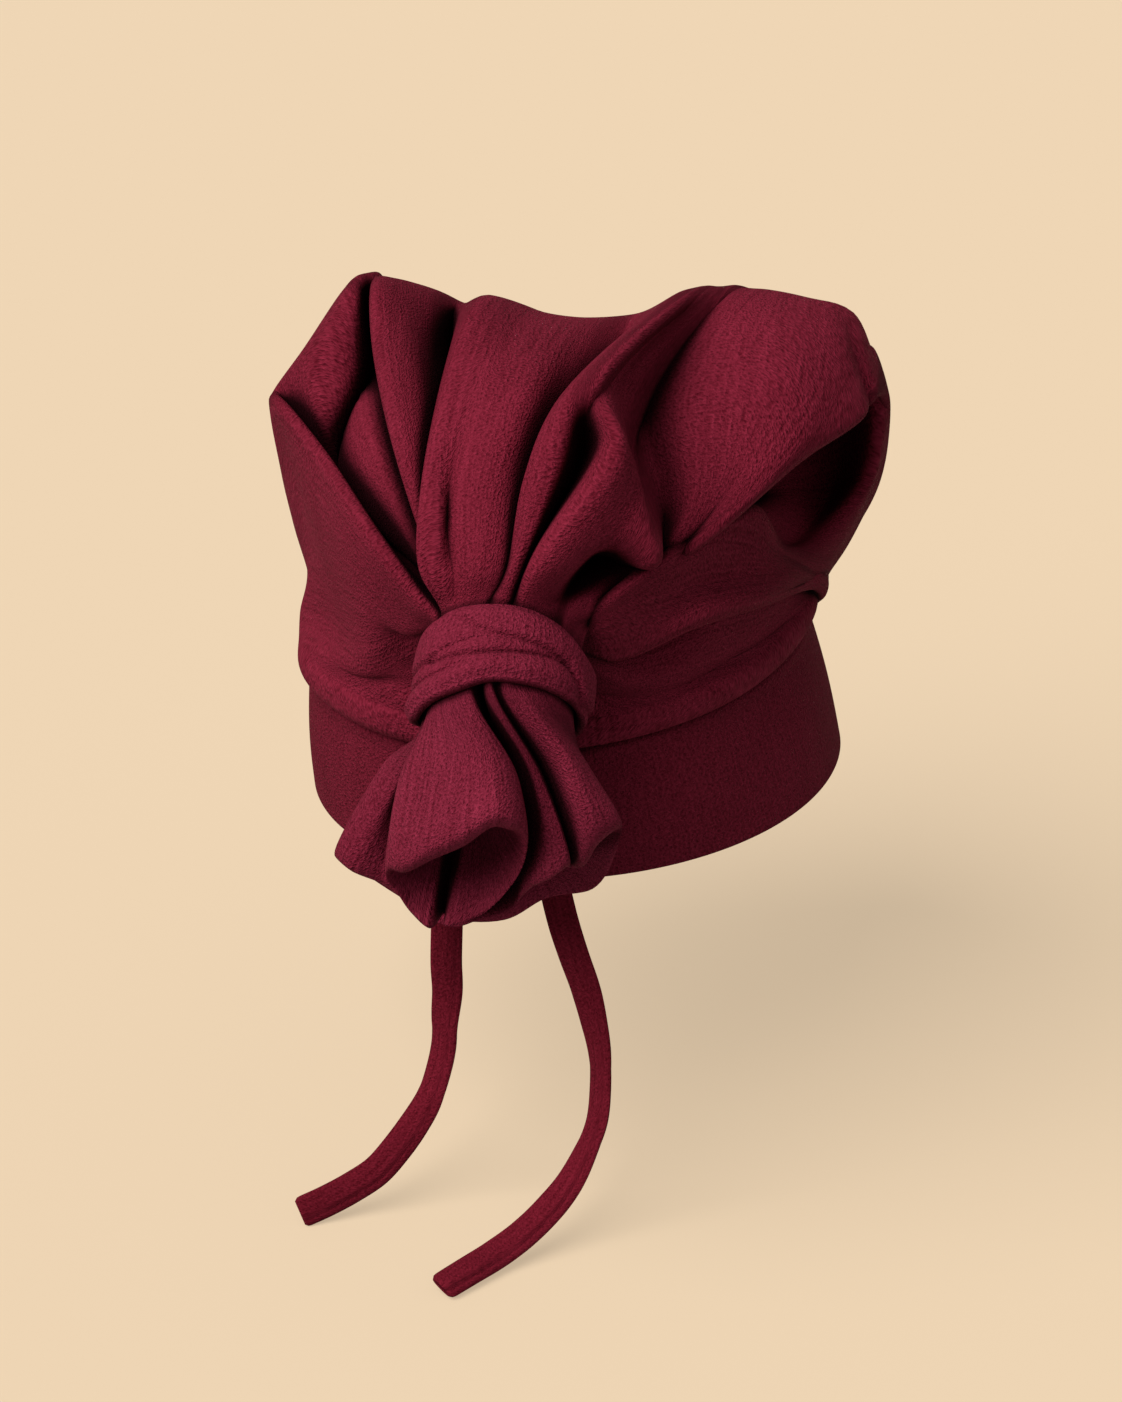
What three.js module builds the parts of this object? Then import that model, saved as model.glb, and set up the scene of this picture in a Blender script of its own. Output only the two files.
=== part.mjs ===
// Tie-knot beanie: a head-hugging band, a full crown drawn forward into a knot, the wound
// wrap of the knot, the rolled cloth ends below it and two hanging ties.
// Millimetres, +Z up. The origin is the centre of the head opening, in the plane of the rim.
// The front of the hat, where the knot sits, faces -Y; the wearer's left is +X.

import * as THREE from 'three';

// ---------- driving sizes ----------

const CLOTH = 1.6; // wall of the single cloth of the crown
const LAYER_SHARE = 0.34; // of the room between two layers of cloth that one wall may fill
const CLEAR_OF_SKIN = 0.05; // how far inwards the search for the next layer starts
const BAND_WALL = 2.4; // the headband is turned over double
const GAP = 0.3; // between two pieces that touch

const RIM = { x: 0, y: 0, halfWidth: 88, halfLength: 98, height: 0, riseLeft: 0, riseBack: 0 };
const SEAM = { x: -5, y: 2, halfWidth: 81.5, halfLength: 93, height: 46, riseLeft: 0.02, riseBack: 0.06 };
const BAND_SWELL = 0.012; // how far the band swells outwards half way up, as a share of its size
const BAND_COLUMNS = 60;

// The knot's axis runs from the crown down and forward; turns are counted round it in
// degrees from the wearer's left side over the top, and "along" goes from its lower end up.
const KNOT = { centre: [6.5, -118, 78], lean: 50, inner: 22.6, outer: 25.2 };
const WRAP_DRAW = 0.92; // share of its own room that each fold keeps inside the wrap
const WRAP_COLUMNS = 40;
const WRAP_TAPER = 1.4; // the lower edge of the wrap stands out further than the upper
const PLEAT_SWELL = 2;

const THROAT_END = -1; // along the knot, where the gathered crown stops inside the wrap
const THROAT_MOUTH = 12; // along the knot, where it leaves the wrap
const ROOT_START = -3.5; // along the knot, where the cloth ends start inside the wrap
const ROOT_DROP = 1; // how far below the wrap's lower edge they start to spread

const TIE = { width: 10, thickness: 3.6, sides: 10, step: 10 };

// ---------- tables ----------

// One row for each line of the crown cloth that runs from the knot, over the top or round a
// side, to the seam. The lines go once round the knot. near, mid and far are on the front,
// crest is where the line turns over to the back, and seam is the place on the seam in
// degrees from the front towards the wearer's left. lift raises the line behind its crest, and
// fullness is how far the cloth stands out there, as a share of the usual.
const fold = (name, turn, tuck, near, mid, far, crest, seam, lift = 0, fullness = 1) => ({
  name, turn, tuck, near, mid, far, crest, seam, lift, fullness,
});
const CROWN_FOLDS = [
  fold('front_low', -90, 20, [9, -88, 65], [7, -89, 60], [5, -90, 55], [3, -91, 50], 2),
  fold('right_under', -128, 21, [-15, -88, 66], [-21, -89, 61], [-27, -90, 56], [-32, -88, 51], -25),
  fold('right_front', -145, 21.5, [-21, -90, 70], [-33, -88, 64], [-46, -80, 58], [-56, -73, 52], -45),
  fold('right_low', -160, 22, [-26, -92, 74], [-45, -84, 63], [-64, -62, 57], [-75, -49, 52], -62),
  fold('right_side', -178, 22, [-26, -97, 84], [-43, -88, 74], [-68, -46, 63], [-86, -18, 54], -84, 0, 0.2),
  fold('swoop_low', 168, 23, [-28, -100, 83], [-42, -92, 87], [-65, -52, 79], [-79, -24, 74], -94, 0, 0.3),
  fold('swoop', 161, 23.5, [-24, -106, 91], [-39, -98, 104], [-66, -56, 105], [-82, -26, 109], -103, 0, 0.5),
  fold('lip', 155, 24, [-20, -112, 99], [-35, -102, 113], [-64, -58, 124], [-85, -30, 130], -111, 0, 0.7),
  fold('swoop_tuck', 155, 20.3, [-22, -100, 97], [-54, -46, 91], [-79, -18, 108], [-90, -12, 127], -118),
  fold('side_face', 154, 16.7, [-22, -98, 98], [-63, -42, 111], [-72, -28, 131], [-78, -13, 142], -127),
  fold('side_edge', 152, 13.1, [-23, -94, 98], [-65, -34, 107], [-60, -22, 139], [-63, -12, 161], -137),
  fold('side_valley', 146, 9.6, [-23, -88, 98], [-66, -16, 103], [-65, 3, 131], [-63, -4, 162], -142),
  fold('inner_edge', 141, 12.2, [-20, -98, 101], [-59, -48, 114], [-66, 1, 127], [-62, 2, 161], -145),
  fold('inner_face', 130, 11, [-17, -104, 104], [-49, -50, 132], [-62, 4, 135], [-60, 4, 161], -148),
  fold('inner_tuck', 119, 11.4, [-17, -97, 104], [-39, -52, 127], [-56, -2, 141], [-58, 0, 161], -151),
  fold('pleat_edge', 135, 15.2, [-15, -105, 107], [-29, -88, 136], [-44, -50, 157], [-51, -22, 167], -155),
  fold('pleat_face', 131, 16.3, [-13, -104, 110], [-27, -78, 142], [-39, -40, 158], [-46, -14, 164], -159),
  fold('pleat_side', 124, 16, [-11, -101, 111], [-25, -64, 140], [-35, -32, 151], [-39, -8, 159], -163),
  fold('hollow', 110, 17.5, [-8, -96, 106], [-24, -26, 119], [-35, 6, 136], [-34, 4, 151], -167),
  fold('panel_edge', 139, 24, [-16, -118, 110], [-17, -108, 126], [-17, -72, 151], [-17, -30, 163], -171),
  fold('panel_fold', 134, 24, [-12, -118, 109], [-14, -108, 124], [-13, -73, 152], [-14, -28, 162], -173),
  fold('panel_crease', 127, 23.3, [-8, -117, 109], [-11, -105, 124], [-8, -74, 152], [-10, -26, 160], -175),
  fold('panel_side', 117, 24, [-3, -120, 112], [-6, -107, 128], [-3, -75, 152], [-5, -24, 157], -177),
  fold('panel_mid', 105, 24, [3, -122, 113], [3, -106, 131], [8, -75, 151], [6, -20, 154], -180),
  fold('panel_end', 98, 24, [8, -120, 112], [10, -97, 131], [14, -60, 148], [16, -8, 151], 175),
  fold('panel_under', 94, 20, [7, -101, 105], [17, -60, 121], [24, -34, 140], [25, 4, 149], 171),
  fold('ridge_edge', 90, 24, [11, -120, 112], [15, -110, 135], [21, -92, 152], [45, -30, 166], 167),
  fold('ridge_face', 84, 24, [14, -121, 115], [23, -112, 140], [26, -97, 156], [47, -26, 166], 164),
  fold('ridge_valley', 78, 20.5, [18, -104, 116], [24, -84, 131], [31, -96, 157], [50, -23, 166], 161),
  fold('spur', 71, 24, [21, -126, 117], [42, -113, 146], [34, -90, 156], [52, -20, 165], 158),
  fold('spur_side', 60, 24, [30, -122, 117], [45, -111, 131], [36, -80, 150], [54, -17, 164], 156),
  fold('nose', 45, 24, [29, -90, 105], [52, -114, 114], [38, -74, 136], [57, -14, 163], 154),
  fold('face_valley', 36, 24, [34, -103, 101], [49, -92, 111], [40, -57, 143], [59, -12, 162], 151),
  fold('face_side', 28, 24, [37, -105, 98], [58, -89, 118], [57, -60, 147], [67, -13, 162], 148),
  fold('face_mid', 21, 24, [38, -98, 94], [65, -86, 119], [79, -58, 149], [80, -8, 159], 144),
  fold('face_corner', 15, 24, [38, -91, 92], [64, -90, 115], [90, -63, 138], [94, -4, 154], 138),
  fold('flap_edge', 9, 24, [38, -86, 95], [61, -92, 111], [89, -66, 131], [103, -38, 135], 133, 14),
  fold('flap_under', 5, 21, [38, -80, 91], [57, -46, 101], [85, -20, 123], [102, -20, 133], 128, 8),
  fold('pocket_floor', 2, 18, [40, -80, 90], [61, -6, 99], [87, 22, 109], [102, 8, 123], 122, 3),
  fold('pocket_wall', -3, 17.5, [43, -82, 89], [65, -4, 94], [86, 18, 89], [99, 8, 99], 117),
  fold('pocket_heel', -5, 18.5, [41, -86, 89], [66, -34, 99], [77, -14, 81], [91, 4, 83], 113),
  fold('shelf_ridge', -8, 20, [39, -92, 91], [70, -70, 112], [77, -47, 91], [83, -6, 70], 109),
  fold('shelf_face', -10, 20.5, [38, -99, 87], [59, -81, 94], [78, -48, 85], [82, -12, 70], 106),
  fold('shelf_edge', -16, 22, [36, -98, 77], [57, -89, 85], [73, -60, 81], [81, -18, 71], 102),
  fold('shelf_tuck', -22, 21, [33, -88, 73], [56, -68, 76], [71, -38, 72], [77, 0, 60], 98),
  fold('left_low', -34, 21.5, [35, -80, 63], [53, -71, 64], [67, -41, 60], [78, -2, 57], 92),
  fold('left_front', -48, 21, [30, -81, 62], [44, -77, 57], [59, -58, 57], [69, -40, 54], 70),
  fold('left_under', -62, 20.5, [25, -84, 62], [35, -82, 58], [45, -76, 54], [54, -70, 52], 48),
];

// Steps of the solid between one named place of a crown line and the next, from the throat
// to the seam, and how far apart two lines may run before one more goes between them.
const CROWN_STEPS = [1, 2, 3, 3, 3, 4, 3, 2];
const WIDEST_STRIP = 28;
const CALMED_DROP = [15, 60]; // the back is evened out below crests this far above the seam

// One row for each line of a cloth end below the knot: the line leaves the wrap at turn and
// tuck, runs over mid to the lip and turns in over mouth to the floor of the hollow.
const roll = (name, turn, tuck, mid, lip, mouth) => ({ name, turn, tuck, mid, lip, mouth });
const FRONT_END = {
  floor: [0, -140, 50],
  lines: [
    roll('edge', 150, 23.5, [-20, -146, 56], [-22, -158, 32], [-22, -151, 26]),
    roll('top_a', 140, 24, [-11, -152, 64], [-15, -164, 36], [-17, -154, 30]),
    roll('top_b', 128, 24, [-3, -156, 68], [-6, -168, 43], [-8, -157, 36]),
    roll('top_c', 118, 24, [4, -158, 70], [5, -171, 50], [2, -159, 42]),
    roll('top_d', 108, 24, [11, -158, 69], [14, -171, 56], [10, -159, 48]),
    roll('curl', 100, 23.5, [16, -154, 64], [19, -168, 54], [13, -156, 46]),
    roll('curl_side', 98, 20, [16, -146, 54], [21, -163, 48], [12, -153, 40]),
    roll('roll_side', 98, 16.5, [13, -138, 43], [19, -157, 37], [10, -149, 35]),
    roll('roll_mid', 103, 13, [6, -132, 35], [13, -152, 25], [5, -146, 29]),
    roll('roll_low', 113, 10.5, [-2, -128, 30], [2, -149, 13], [-1, -145, 27]),
    roll('fold_tip', 122, 11, [-8, -126, 27], [-8, -151, 10], [-5, -147, 26]),
    roll('crease', 127, 11.2, [-10, -126, 27], [-11, -141, 9], [-11, -134, 20]),
    roll('tip', 133, 12, [-13, -127, 28], [-13, -151, 9], [-10, -146, 25]),
    roll('tip_under', 142, 13, [-16, -129, 30], [-19, -149, 13], [-16, -146, 22]),
    roll('under', 149, 17, [-20, -133, 36], [-22, -151, 20], [-21, -148, 21]),
    roll('edge_low', 152, 20.5, [-22, -139, 45], [-24, -154, 26], [-22, -150, 24]),
  ],
};
const BACK_END = {
  floor: [2, -116, 38],
  lines: [
    roll('fan_edge', 176, 23.5, [-33, -119, 47], [-49, -124, 19], [-48, -118, 15]),
    roll('fan_face', 166, 24, [-26, -128, 46], [-42, -131, 17], [-41, -126, 15]),
    roll('fan_crease', 158, 22, [-26, -124, 41], [-32, -129, 12], [-32, -123, 9]),
    roll('bed_a', 146, 11, [-24, -118, 33], [-22, -131, 4], [-22, -127, 4]),
    roll('bed_b', 125, 5, [-16, -108, 31], [-11, -134, 1], [-11, -130, 2]),
    roll('bed_c', 100, 7, [2, -116, 39], [-1, -138, 6], [-2, -134, 7]),
    roll('under_fold', 92, 17, [10, -127, 44], [9, -141, 11], [6, -136, 12]),
    roll('fold_edge', 91, 22, [16, -140, 55], [18, -146, 22], [18, -140, 22]),
    roll('side_roll', 88, 24, [20, -147, 58], [25, -151, 28], [23, -145, 27]),
    roll('side_edge', 84, 24, [22, -145, 58], [30, -150, 33], [26, -144, 28]),
    roll('side_crease', 80, 21, [20, -133, 52], [27, -136, 26], [26, -130, 21]),
    roll('far_fold', 76, 24, [24, -143, 59], [33, -146, 32], [32, -139, 27]),
    roll('far_face', 66, 24, [30, -146, 65], [38, -149, 41], [37, -141, 35]),
    roll('far_edge', 50, 24, [34, -138, 59], [44, -142, 43], [41, -136, 37]),
    roll('far_side', 25, 24, [33, -121, 43], [40, -131, 27], [37, -130, 27]),
    roll('far_under', -10, 24, [27, -107, 26], [30, -120, 9], [28, -121, 12]),
    roll('back_a', -50, 24, [17, -102, 19], [14, -114, 2], [14, -116, 6]),
    roll('back_b', -90, 24, [-3, -101, 18], [1, -116, -5], [1, -119, -1]),
    roll('back_c', -130, 24, [-21, -102, 21], [-19, -118, -4], [-18, -120, 1]),
    roll('fan_under', -165, 24, [-35, -108, 30], [-42, -119, 10], [-41, -119, 11]),
  ],
};
const END_STEPS = [1, 3, 3, 1, 2];

// The lines round the wrap: its upper edge, the creases between its pleats and its lower edge.
// Each stop is a turn round the knot and how far along the knot the line lies there.
const WRAP_TOP = [
  [11, 4], [35, 7.2], [52, 8.7], [69, 10], [98, 9.7], [136, 9], [150, 8], [200, 7], [270, 8], [340, 4],
];
const WRAP_UPPER = [
  [20, -1.5], [76, -0.8], [90, 0], [101, 2.4], [113, 4.5], [130, 4.5], [200, 2.5], [290, 0],
];
const WRAP_MIDDLE = [[20, -6.5], [53, -5], [85, -6.1], [121, -7.3], [147, -8], [180, -7], [270, -6]];
const WRAP_LOW = [
  [19, -12.6], [67, -13.8], [83, -14.3], [91, -15], [102, -17], [118, -18.4], [138, -19.3], [156, -21],
  [180, -18], [205, -14], [270, -13], [340, -12.5],
];

// The middle lines of the two ties, from the band's face behind the cloth ends to the tips.
const TIE_ROUTES = {
  tie_right: [
    [-20, -97.5, 8], [-20.5, -98, -1], [-21.5, -99.5, -10.5], [-22, -101, -19.5], [-22.5, -102, -29],
    [-22.5, -103, -38], [-23.5, -104.5, -47], [-24, -106.5, -56], [-26, -109, -65],
    [-29, -111.5, -73.5], [-33.5, -114.5, -81], [-38.5, -119, -87.5], [-44, -124, -93],
    [-51, -128, -97], [-58.5, -132.5, -100], [-66.5, -137, -102.5],
  ],
  tie_left: [
    [12, -98.5, 8], [13.5, -99.5, -2.5], [16, -101.5, -13], [19, -103, -23], [22.5, -104.5, -33.5],
    [25, -106.5, -43.5], [27, -109, -54], [27.5, -112.5, -64], [27, -118, -73.5], [24, -124.5, -81.5],
    [20, -131.5, -88.5], [14.5, -139, -94], [8, -146.5, -98.5], [1, -154, -101.5],
    [-5.5, -162.5, -102.5], [-12, -171, -103.5],
  ],
};

// ---------- places ----------

const vector = ([x, y, z]) => new THREE.Vector3(x, y, z);
const radians = THREE.MathUtils.degToRad;
const SIDE = new THREE.Vector3(1, 0, 0);
const UP = new THREE.Vector3(0, 0, 1);
const KNOT_UP = new THREE.Vector3(0, Math.sin(radians(KNOT.lean)), Math.cos(radians(KNOT.lean)));
const KNOT_TOP = new THREE.Vector3(0, -Math.cos(radians(KNOT.lean)), Math.sin(radians(KNOT.lean)));

/** The horizontal direction at an angle from the front towards the wearer's left. */
function outwards(degrees) {
  return new THREE.Vector3(Math.sin(radians(degrees)), -Math.cos(radians(degrees)), 0);
}

/** The point of an oval ring at an angle from the front, swelled by a share of its size. */
function ovalPoint(oval, degrees, swell = 0) {
  const away = outwards(degrees);
  const x = oval.x + away.x * oval.halfWidth * (1 + swell);
  const y = oval.y + away.y * oval.halfLength * (1 + swell);
  return new THREE.Vector3(x, y, oval.height + oval.riseLeft * x + oval.riseBack * y);
}

/** A point round the knot's axis. */
function knotPoint(turn, radius, along) {
  return vector(KNOT.centre)
    .addScaledVector(KNOT_UP, along)
    .addScaledVector(SIDE, radius * Math.cos(radians(turn)))
    .addScaledVector(KNOT_TOP, radius * Math.sin(radians(turn)));
}

/** Points on one smooth curve through the given ones, with so many steps in each span. */
function smoothLine(points, steps, closed = false) {
  const curve = new THREE.CatmullRomCurve3(points, closed, 'centripetal');
  const line = [];
  steps.forEach((count, span) => {
    for (let step = 0; step < count; step += 1) {
      line.push(curve.getPoint((span + step / count) / steps.length));
    }
  });
  return closed ? line : [...line, points.at(-1).clone()];
}

// ---------- solids from grids ----------

/** Collects rings of vertices and the triangles between them into one closed body. */
class Body {
  positions = [];
  triangles = [];

  addRing(points) {
    return points.map((point) => this.positions.push(point) - 1);
  }

  addQuad(a, b, c, d) {
    const at = this.positions;
    const shortFirst = at[a].distanceTo(at[c]) <= at[b].distanceTo(at[d]);
    this.triangles.push(...(shortFirst ? [[a, b, c], [a, c, d]] : [[a, b, d], [b, c, d]]));
  }

  /** Skins the strip between two rings of equal count. */
  addStrip(ring, next) {
    ring.forEach((vertex, i) => {
      const j = (i + 1) % ring.length;
      this.addQuad(vertex, ring[j], next[j], next[i]);
    });
  }

  /** Fills a nearly flat ring, seen along the knot's axis, facing with its order or against it. */
  addCap(ring, reversed) {
    const flat = ring.map((vertex) => {
      const point = this.positions[vertex];
      return new THREE.Vector2(point.dot(SIDE), point.dot(KNOT_TOP));
    });
    const ringTurns = Math.sign(THREE.ShapeUtils.area(flat));
    THREE.ShapeUtils.triangulateShape(flat, []).forEach((face) => {
      const faceTurns = Math.sign(THREE.ShapeUtils.area(face.map((corner) => flat[corner])));
      const turned = (faceTurns === ringTurns) === reversed ? face.toReversed() : face;
      this.triangles.push(turned.map((corner) => ring[corner]));
    });
  }

  /** Closes a ring with a fan of triangles to one point. */
  addFan(ring, point) {
    const centre = this.positions.push(point) - 1;
    ring.forEach((vertex, i) => this.triangles.push([vertex, ring[(i + 1) % ring.length], centre]));
  }

  toGeometry() {
    const at = (vertex) => this.positions[vertex];
    const volume = this.triangles.reduce(
      (sum, [a, b, c]) => sum + at(a).dot(new THREE.Vector3().crossVectors(at(b), at(c))), 0);
    const faces = volume < 0 ? this.triangles.map(([a, b, c]) => [a, c, b]) : this.triangles;
    const geometry = new THREE.BufferGeometry();
    geometry.setAttribute('position', new THREE.Float32BufferAttribute(
      this.positions.flatMap((point) => point.toArray()), 3));
    geometry.setIndex(faces.flat());
    geometry.computeVertexNormals();
    return geometry;
  }
}

// ---------- crown ----------

/** The places that one crown line runs through, from inside the wrap to the seam. */
function crownLine(line, calmedCrest) {
  const away = outwards(line.seam);
  const seam = ovalPoint(SEAM, line.seam);
  const crest = vector(line.crest);
  const drop = Math.max(crest.z - seam.z, 0);
  const brow = crest.clone().lerp(calmedCrest, THREE.MathUtils.smoothstep(drop, ...CALMED_DROP));
  const overTheBack = (share, bulge, lift) => brow.clone().lerp(seam, share)
    .addScaledVector(away, bulge * drop * line.fullness)
    .addScaledVector(UP, lift * drop);
  return [
    knotPoint(line.turn, line.tuck * WRAP_DRAW * 0.97, THROAT_END),
    knotPoint(line.turn, line.tuck * WRAP_DRAW, THROAT_MOUTH),
    vector(line.near), vector(line.mid), vector(line.far), crest,
    overTheBack(0.3, 0.2, 0.1).addScaledVector(UP, line.lift),
    overTheBack(0.72, 0.27, 0.06),
    seam,
  ];
}

/** Each crest drawn half way to its neighbours, twice, which calms the back of the crown. */
function calmedCrests() {
  let crests = CROWN_FOLDS.map((line) => vector(line.crest));
  for (let pass = 0; pass < 2; pass += 1) {
    crests = crests.map((crest, i) => {
      const before = crests.at(i - 1);
      const after = crests[(i + 1) % crests.length];
      return crest.clone().multiplyScalar(2).add(before).add(after).multiplyScalar(0.25);
    });
  }
  return crests;
}

/** Rings of the crown's outer face, from the throat to the seam. */
function crownRings() {
  const crests = calmedCrests();
  const places = CROWN_FOLDS.map((line, i) => crownLine(line, crests[i]));
  const lines = places.map((line) => smoothLine(line, CROWN_STEPS));
  const strips = places.map((line, i) => {
    const next = places[(i + 1) % places.length];
    const widest = Math.max(...line.map((place, k) => place.distanceTo(next[k])));
    return Math.min(3, Math.ceil(widest / WIDEST_STRIP));
  });
  const rings = lines[0].map((_, row) => smoothLine(lines.map((line) => line[row]), strips, true));
  return settleOnSeam(rings, strips);
}

/** Moves the last rows of the strips between two lines so that they end on the seam. */
function settleOnSeam(rings, strips) {
  const rows = CROWN_STEPS.at(-1) + CROWN_STEPS.at(-2);
  const angles = CROWN_FOLDS.flatMap((line, i) => {
    const next = CROWN_FOLDS[(i + 1) % CROWN_FOLDS.length];
    const turn = THREE.MathUtils.euclideanModulo(next.seam - line.seam + 180, 360) - 180;
    return Array.from({ length: strips[i] }, (_, step) => line.seam + (turn * step) / strips[i]);
  });
  angles.forEach((angle, column) => {
    const shift = ovalPoint(SEAM, angle).sub(rings.at(-1)[column]);
    for (let row = 1; row <= rows; row += 1) {
      const share = THREE.MathUtils.smoothstep(row, 0, rows);
      rings[rings.length - 1 - rows + row][column].addScaledVector(shift, share);
    }
  });
  return rings;
}

/** The direction into the cloth at each vertex: each face counts by its angle there. */
function inwardDirections(positions, triangles) {
  const inwards = positions.map(() => new THREE.Vector3());
  const face = new THREE.Triangle();
  const normal = new THREE.Vector3();
  triangles.forEach((corners) => {
    face.setFromPointsAndIndices(positions, ...corners).getNormal(normal);
    corners.forEach((corner, i) => {
      const toNext = positions[corners[(i + 1) % 3]].clone().sub(positions[corner]);
      const toLast = positions[corners[(i + 2) % 3]].clone().sub(positions[corner]);
      inwards[corner].addScaledVector(normal, -toNext.angleTo(toLast));
    });
  });
  return inwards.map((direction) => direction.normalize());
}

/** How far the cloth may go inwards at each place: its wall, or less where a layer lies near. */
function clothDepths(skin, places, inwards) {
  const sheet = new THREE.Mesh(skin, new THREE.MeshBasicMaterial({ side: THREE.DoubleSide }));
  const ray = new THREE.Raycaster();
  ray.far = CLOTH / LAYER_SHARE;
  return places.map((place, i) => {
    ray.set(place.clone().addScaledVector(inwards[i], CLEAR_OF_SKIN), inwards[i]);
    const [nearest] = ray.intersectObject(sheet);
    return nearest ? Math.min(CLOTH, nearest.distance * LAYER_SHARE) : CLOTH;
  });
}

/** The crown: one cloth, open at the seam and gathered shut inside the wrap. */
function crownGeometry() {
  const rings = crownRings();
  rings.at(-1).forEach((point) => { point.z += GAP; });
  const body = new Body();
  const outside = rings.map((ring) => body.addRing(ring));
  outside.slice(1).forEach((ring, i) => body.addStrip(outside[i], ring));
  body.addCap(outside[0], true);
  const inwards = inwardDirections(body.positions, body.triangles);
  outside[0].forEach((vertex) => inwards[vertex].copy(KNOT_UP));
  outside.at(-1).forEach((vertex) => inwards[vertex].setZ(0).normalize());
  const depths = clothDepths(body.toGeometry(), body.positions, inwards);
  const count = body.positions.length;
  const inner = body.positions.map((place, i) => place.clone().addScaledVector(inwards[i], depths[i]));
  body.addRing(inner);
  body.triangles.push(...body.triangles.map((face) => face.toReversed().map((vertex) => vertex + count)));
  body.addStrip(outside.at(-1), outside.at(-1).map((vertex) => vertex + count));
  return body.toGeometry();
}

// ---------- the other pieces ----------

/** The headband: a ring of doubled cloth from the rim up to the seam. */
function bandGeometry() {
  const heights = [0, 0.12, 0.5, 0.88, 1];
  const ringAt = (share, inset) => Array.from({ length: BAND_COLUMNS }, (_, column) => {
    const degrees = (column / BAND_COLUMNS) * 360;
    const swell = BAND_SWELL * Math.sin(Math.PI * share);
    const point = ovalPoint(RIM, degrees, swell).lerp(ovalPoint(SEAM, degrees, swell), share);
    return point.addScaledVector(outwards(degrees), -inset);
  });
  const body = new Body();
  const loop = [
    ...heights.map((share) => ringAt(share, 0)),
    ...heights.map((share) => ringAt(share, BAND_WALL)).reverse(),
  ].map((ring) => body.addRing(ring));
  loop.forEach((ring, i) => body.addStrip(ring, loop[(i + 1) % loop.length]));
  return body.toGeometry();
}

/** Where a line of the wrap lies along the knot at a turn round it, evened out over a few degrees. */
function wrapLineAt(line, turn) {
  const at = (place) => {
    const next = line.findIndex(([stop]) => stop > place);
    const [from, low] = line.at(next === -1 ? -1 : next - 1);
    const [to, high] = line.at(Math.max(next, 0));
    const span = THREE.MathUtils.euclideanModulo(to - from, 360);
    return THREE.MathUtils.lerp(low, high, THREE.MathUtils.euclideanModulo(place - from, 360) / span);
  };
  const places = [-8, -4, 0, 4, 8].map((shift) => THREE.MathUtils.euclideanModulo(turn + shift, 360));
  return places.reduce((sum, place) => sum + at(place), 0) / places.length;
}

/** The wrap of the knot: a ring whose outer face is swelled into a pleat between creases. */
function wrapGeometry() {
  const columns = Array.from({ length: WRAP_COLUMNS }, (_, column) => {
    const turn = (column / WRAP_COLUMNS) * 360;
    const edges = [WRAP_TOP, WRAP_UPPER, WRAP_MIDDLE, WRAP_LOW].map((line) => wrapLineAt(line, turn));
    const [top, bottom] = [edges[0], edges.at(-1)];
    const radiusAt = (along) => KNOT.outer + WRAP_TAPER * THREE.MathUtils.inverseLerp(top, bottom, along);
    const outside = edges.slice(1).flatMap((low, i) => [0, 0.25, 0.75].map((share) => {
      const along = THREE.MathUtils.lerp(edges[i], low, share);
      return knotPoint(turn, radiusAt(along) + PLEAT_SWELL * Math.sin(Math.PI * share), along);
    }));
    return [
      ...outside,
      knotPoint(turn, radiusAt(bottom), bottom),
      knotPoint(turn, KNOT.inner, bottom + 1),
      knotPoint(turn, KNOT.inner, top - 1),
    ];
  });
  const body = new Body();
  const loop = columns[0].map((_, place) => body.addRing(columns.map((column) => column[place])));
  loop.forEach((ring, i) => body.addStrip(ring, loop[(i + 1) % loop.length]));
  return body.toGeometry();
}

/** One cloth end: a folded tube from inside the wrap to a rolled lip round a hollow. */
function endGeometry({ lines, floor }) {
  const bottom = vector(floor);
  const strips = lines.map(() => 2);
  const places = lines.map((line) => [
    knotPoint(line.turn, line.tuck * WRAP_DRAW * 0.96, ROOT_START),
    knotPoint(line.turn, line.tuck * WRAP_DRAW, wrapLineAt(WRAP_LOW, line.turn) - ROOT_DROP),
    vector(line.mid), vector(line.lip), vector(line.mouth),
    vector(line.mouth).lerp(bottom, 0.62),
  ]);
  const along = places.map((line) => smoothLine(line, END_STEPS));
  const body = new Body();
  const ringAt = (row) => smoothLine(along.map((line) => line[row]), strips, true);
  const rings = along[0].map((_, row) => body.addRing(ringAt(row)));
  rings.slice(1).forEach((ring, i) => body.addStrip(rings[i], ring));
  body.addCap(rings[0], true);
  body.addFan(rings.at(-1), bottom);
  return body.toGeometry();
}

/** A tie: a flat sewn strip along its route. */
function tieGeometry(route) {
  const path = new THREE.CatmullRomCurve3(route.map(vector), false, 'centripetal');
  const section = new THREE.Shape(Array.from({ length: TIE.sides }, (_, side) => {
    const angle = ((side + 0.5) / TIE.sides) * 2 * Math.PI;
    return new THREE.Vector2(Math.cos(angle) * TIE.thickness / 2, Math.sin(angle) * TIE.width / 2);
  }));
  return new THREE.ExtrudeGeometry(section, {
    extrudePath: path,
    steps: Math.ceil(path.getLength() / TIE.step),
    bevelEnabled: false,
  });
}

// ---------- assembly ----------

const burgundy = (color) => new THREE.MeshStandardMaterial({ color, roughness: 0.9, metalness: 0 });

function piece(name, geometry, color) {
  const mesh = new THREE.Mesh(geometry, burgundy(color));
  mesh.name = name;
  return mesh;
}

const knot = new THREE.Group();
knot.add(
  piece('knot_wrap', wrapGeometry(), '#742039'),
  piece('knot_end_front', endGeometry(FRONT_END), '#782139'),
  piece('knot_end_back', endGeometry(BACK_END), '#681b30'),
);

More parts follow.
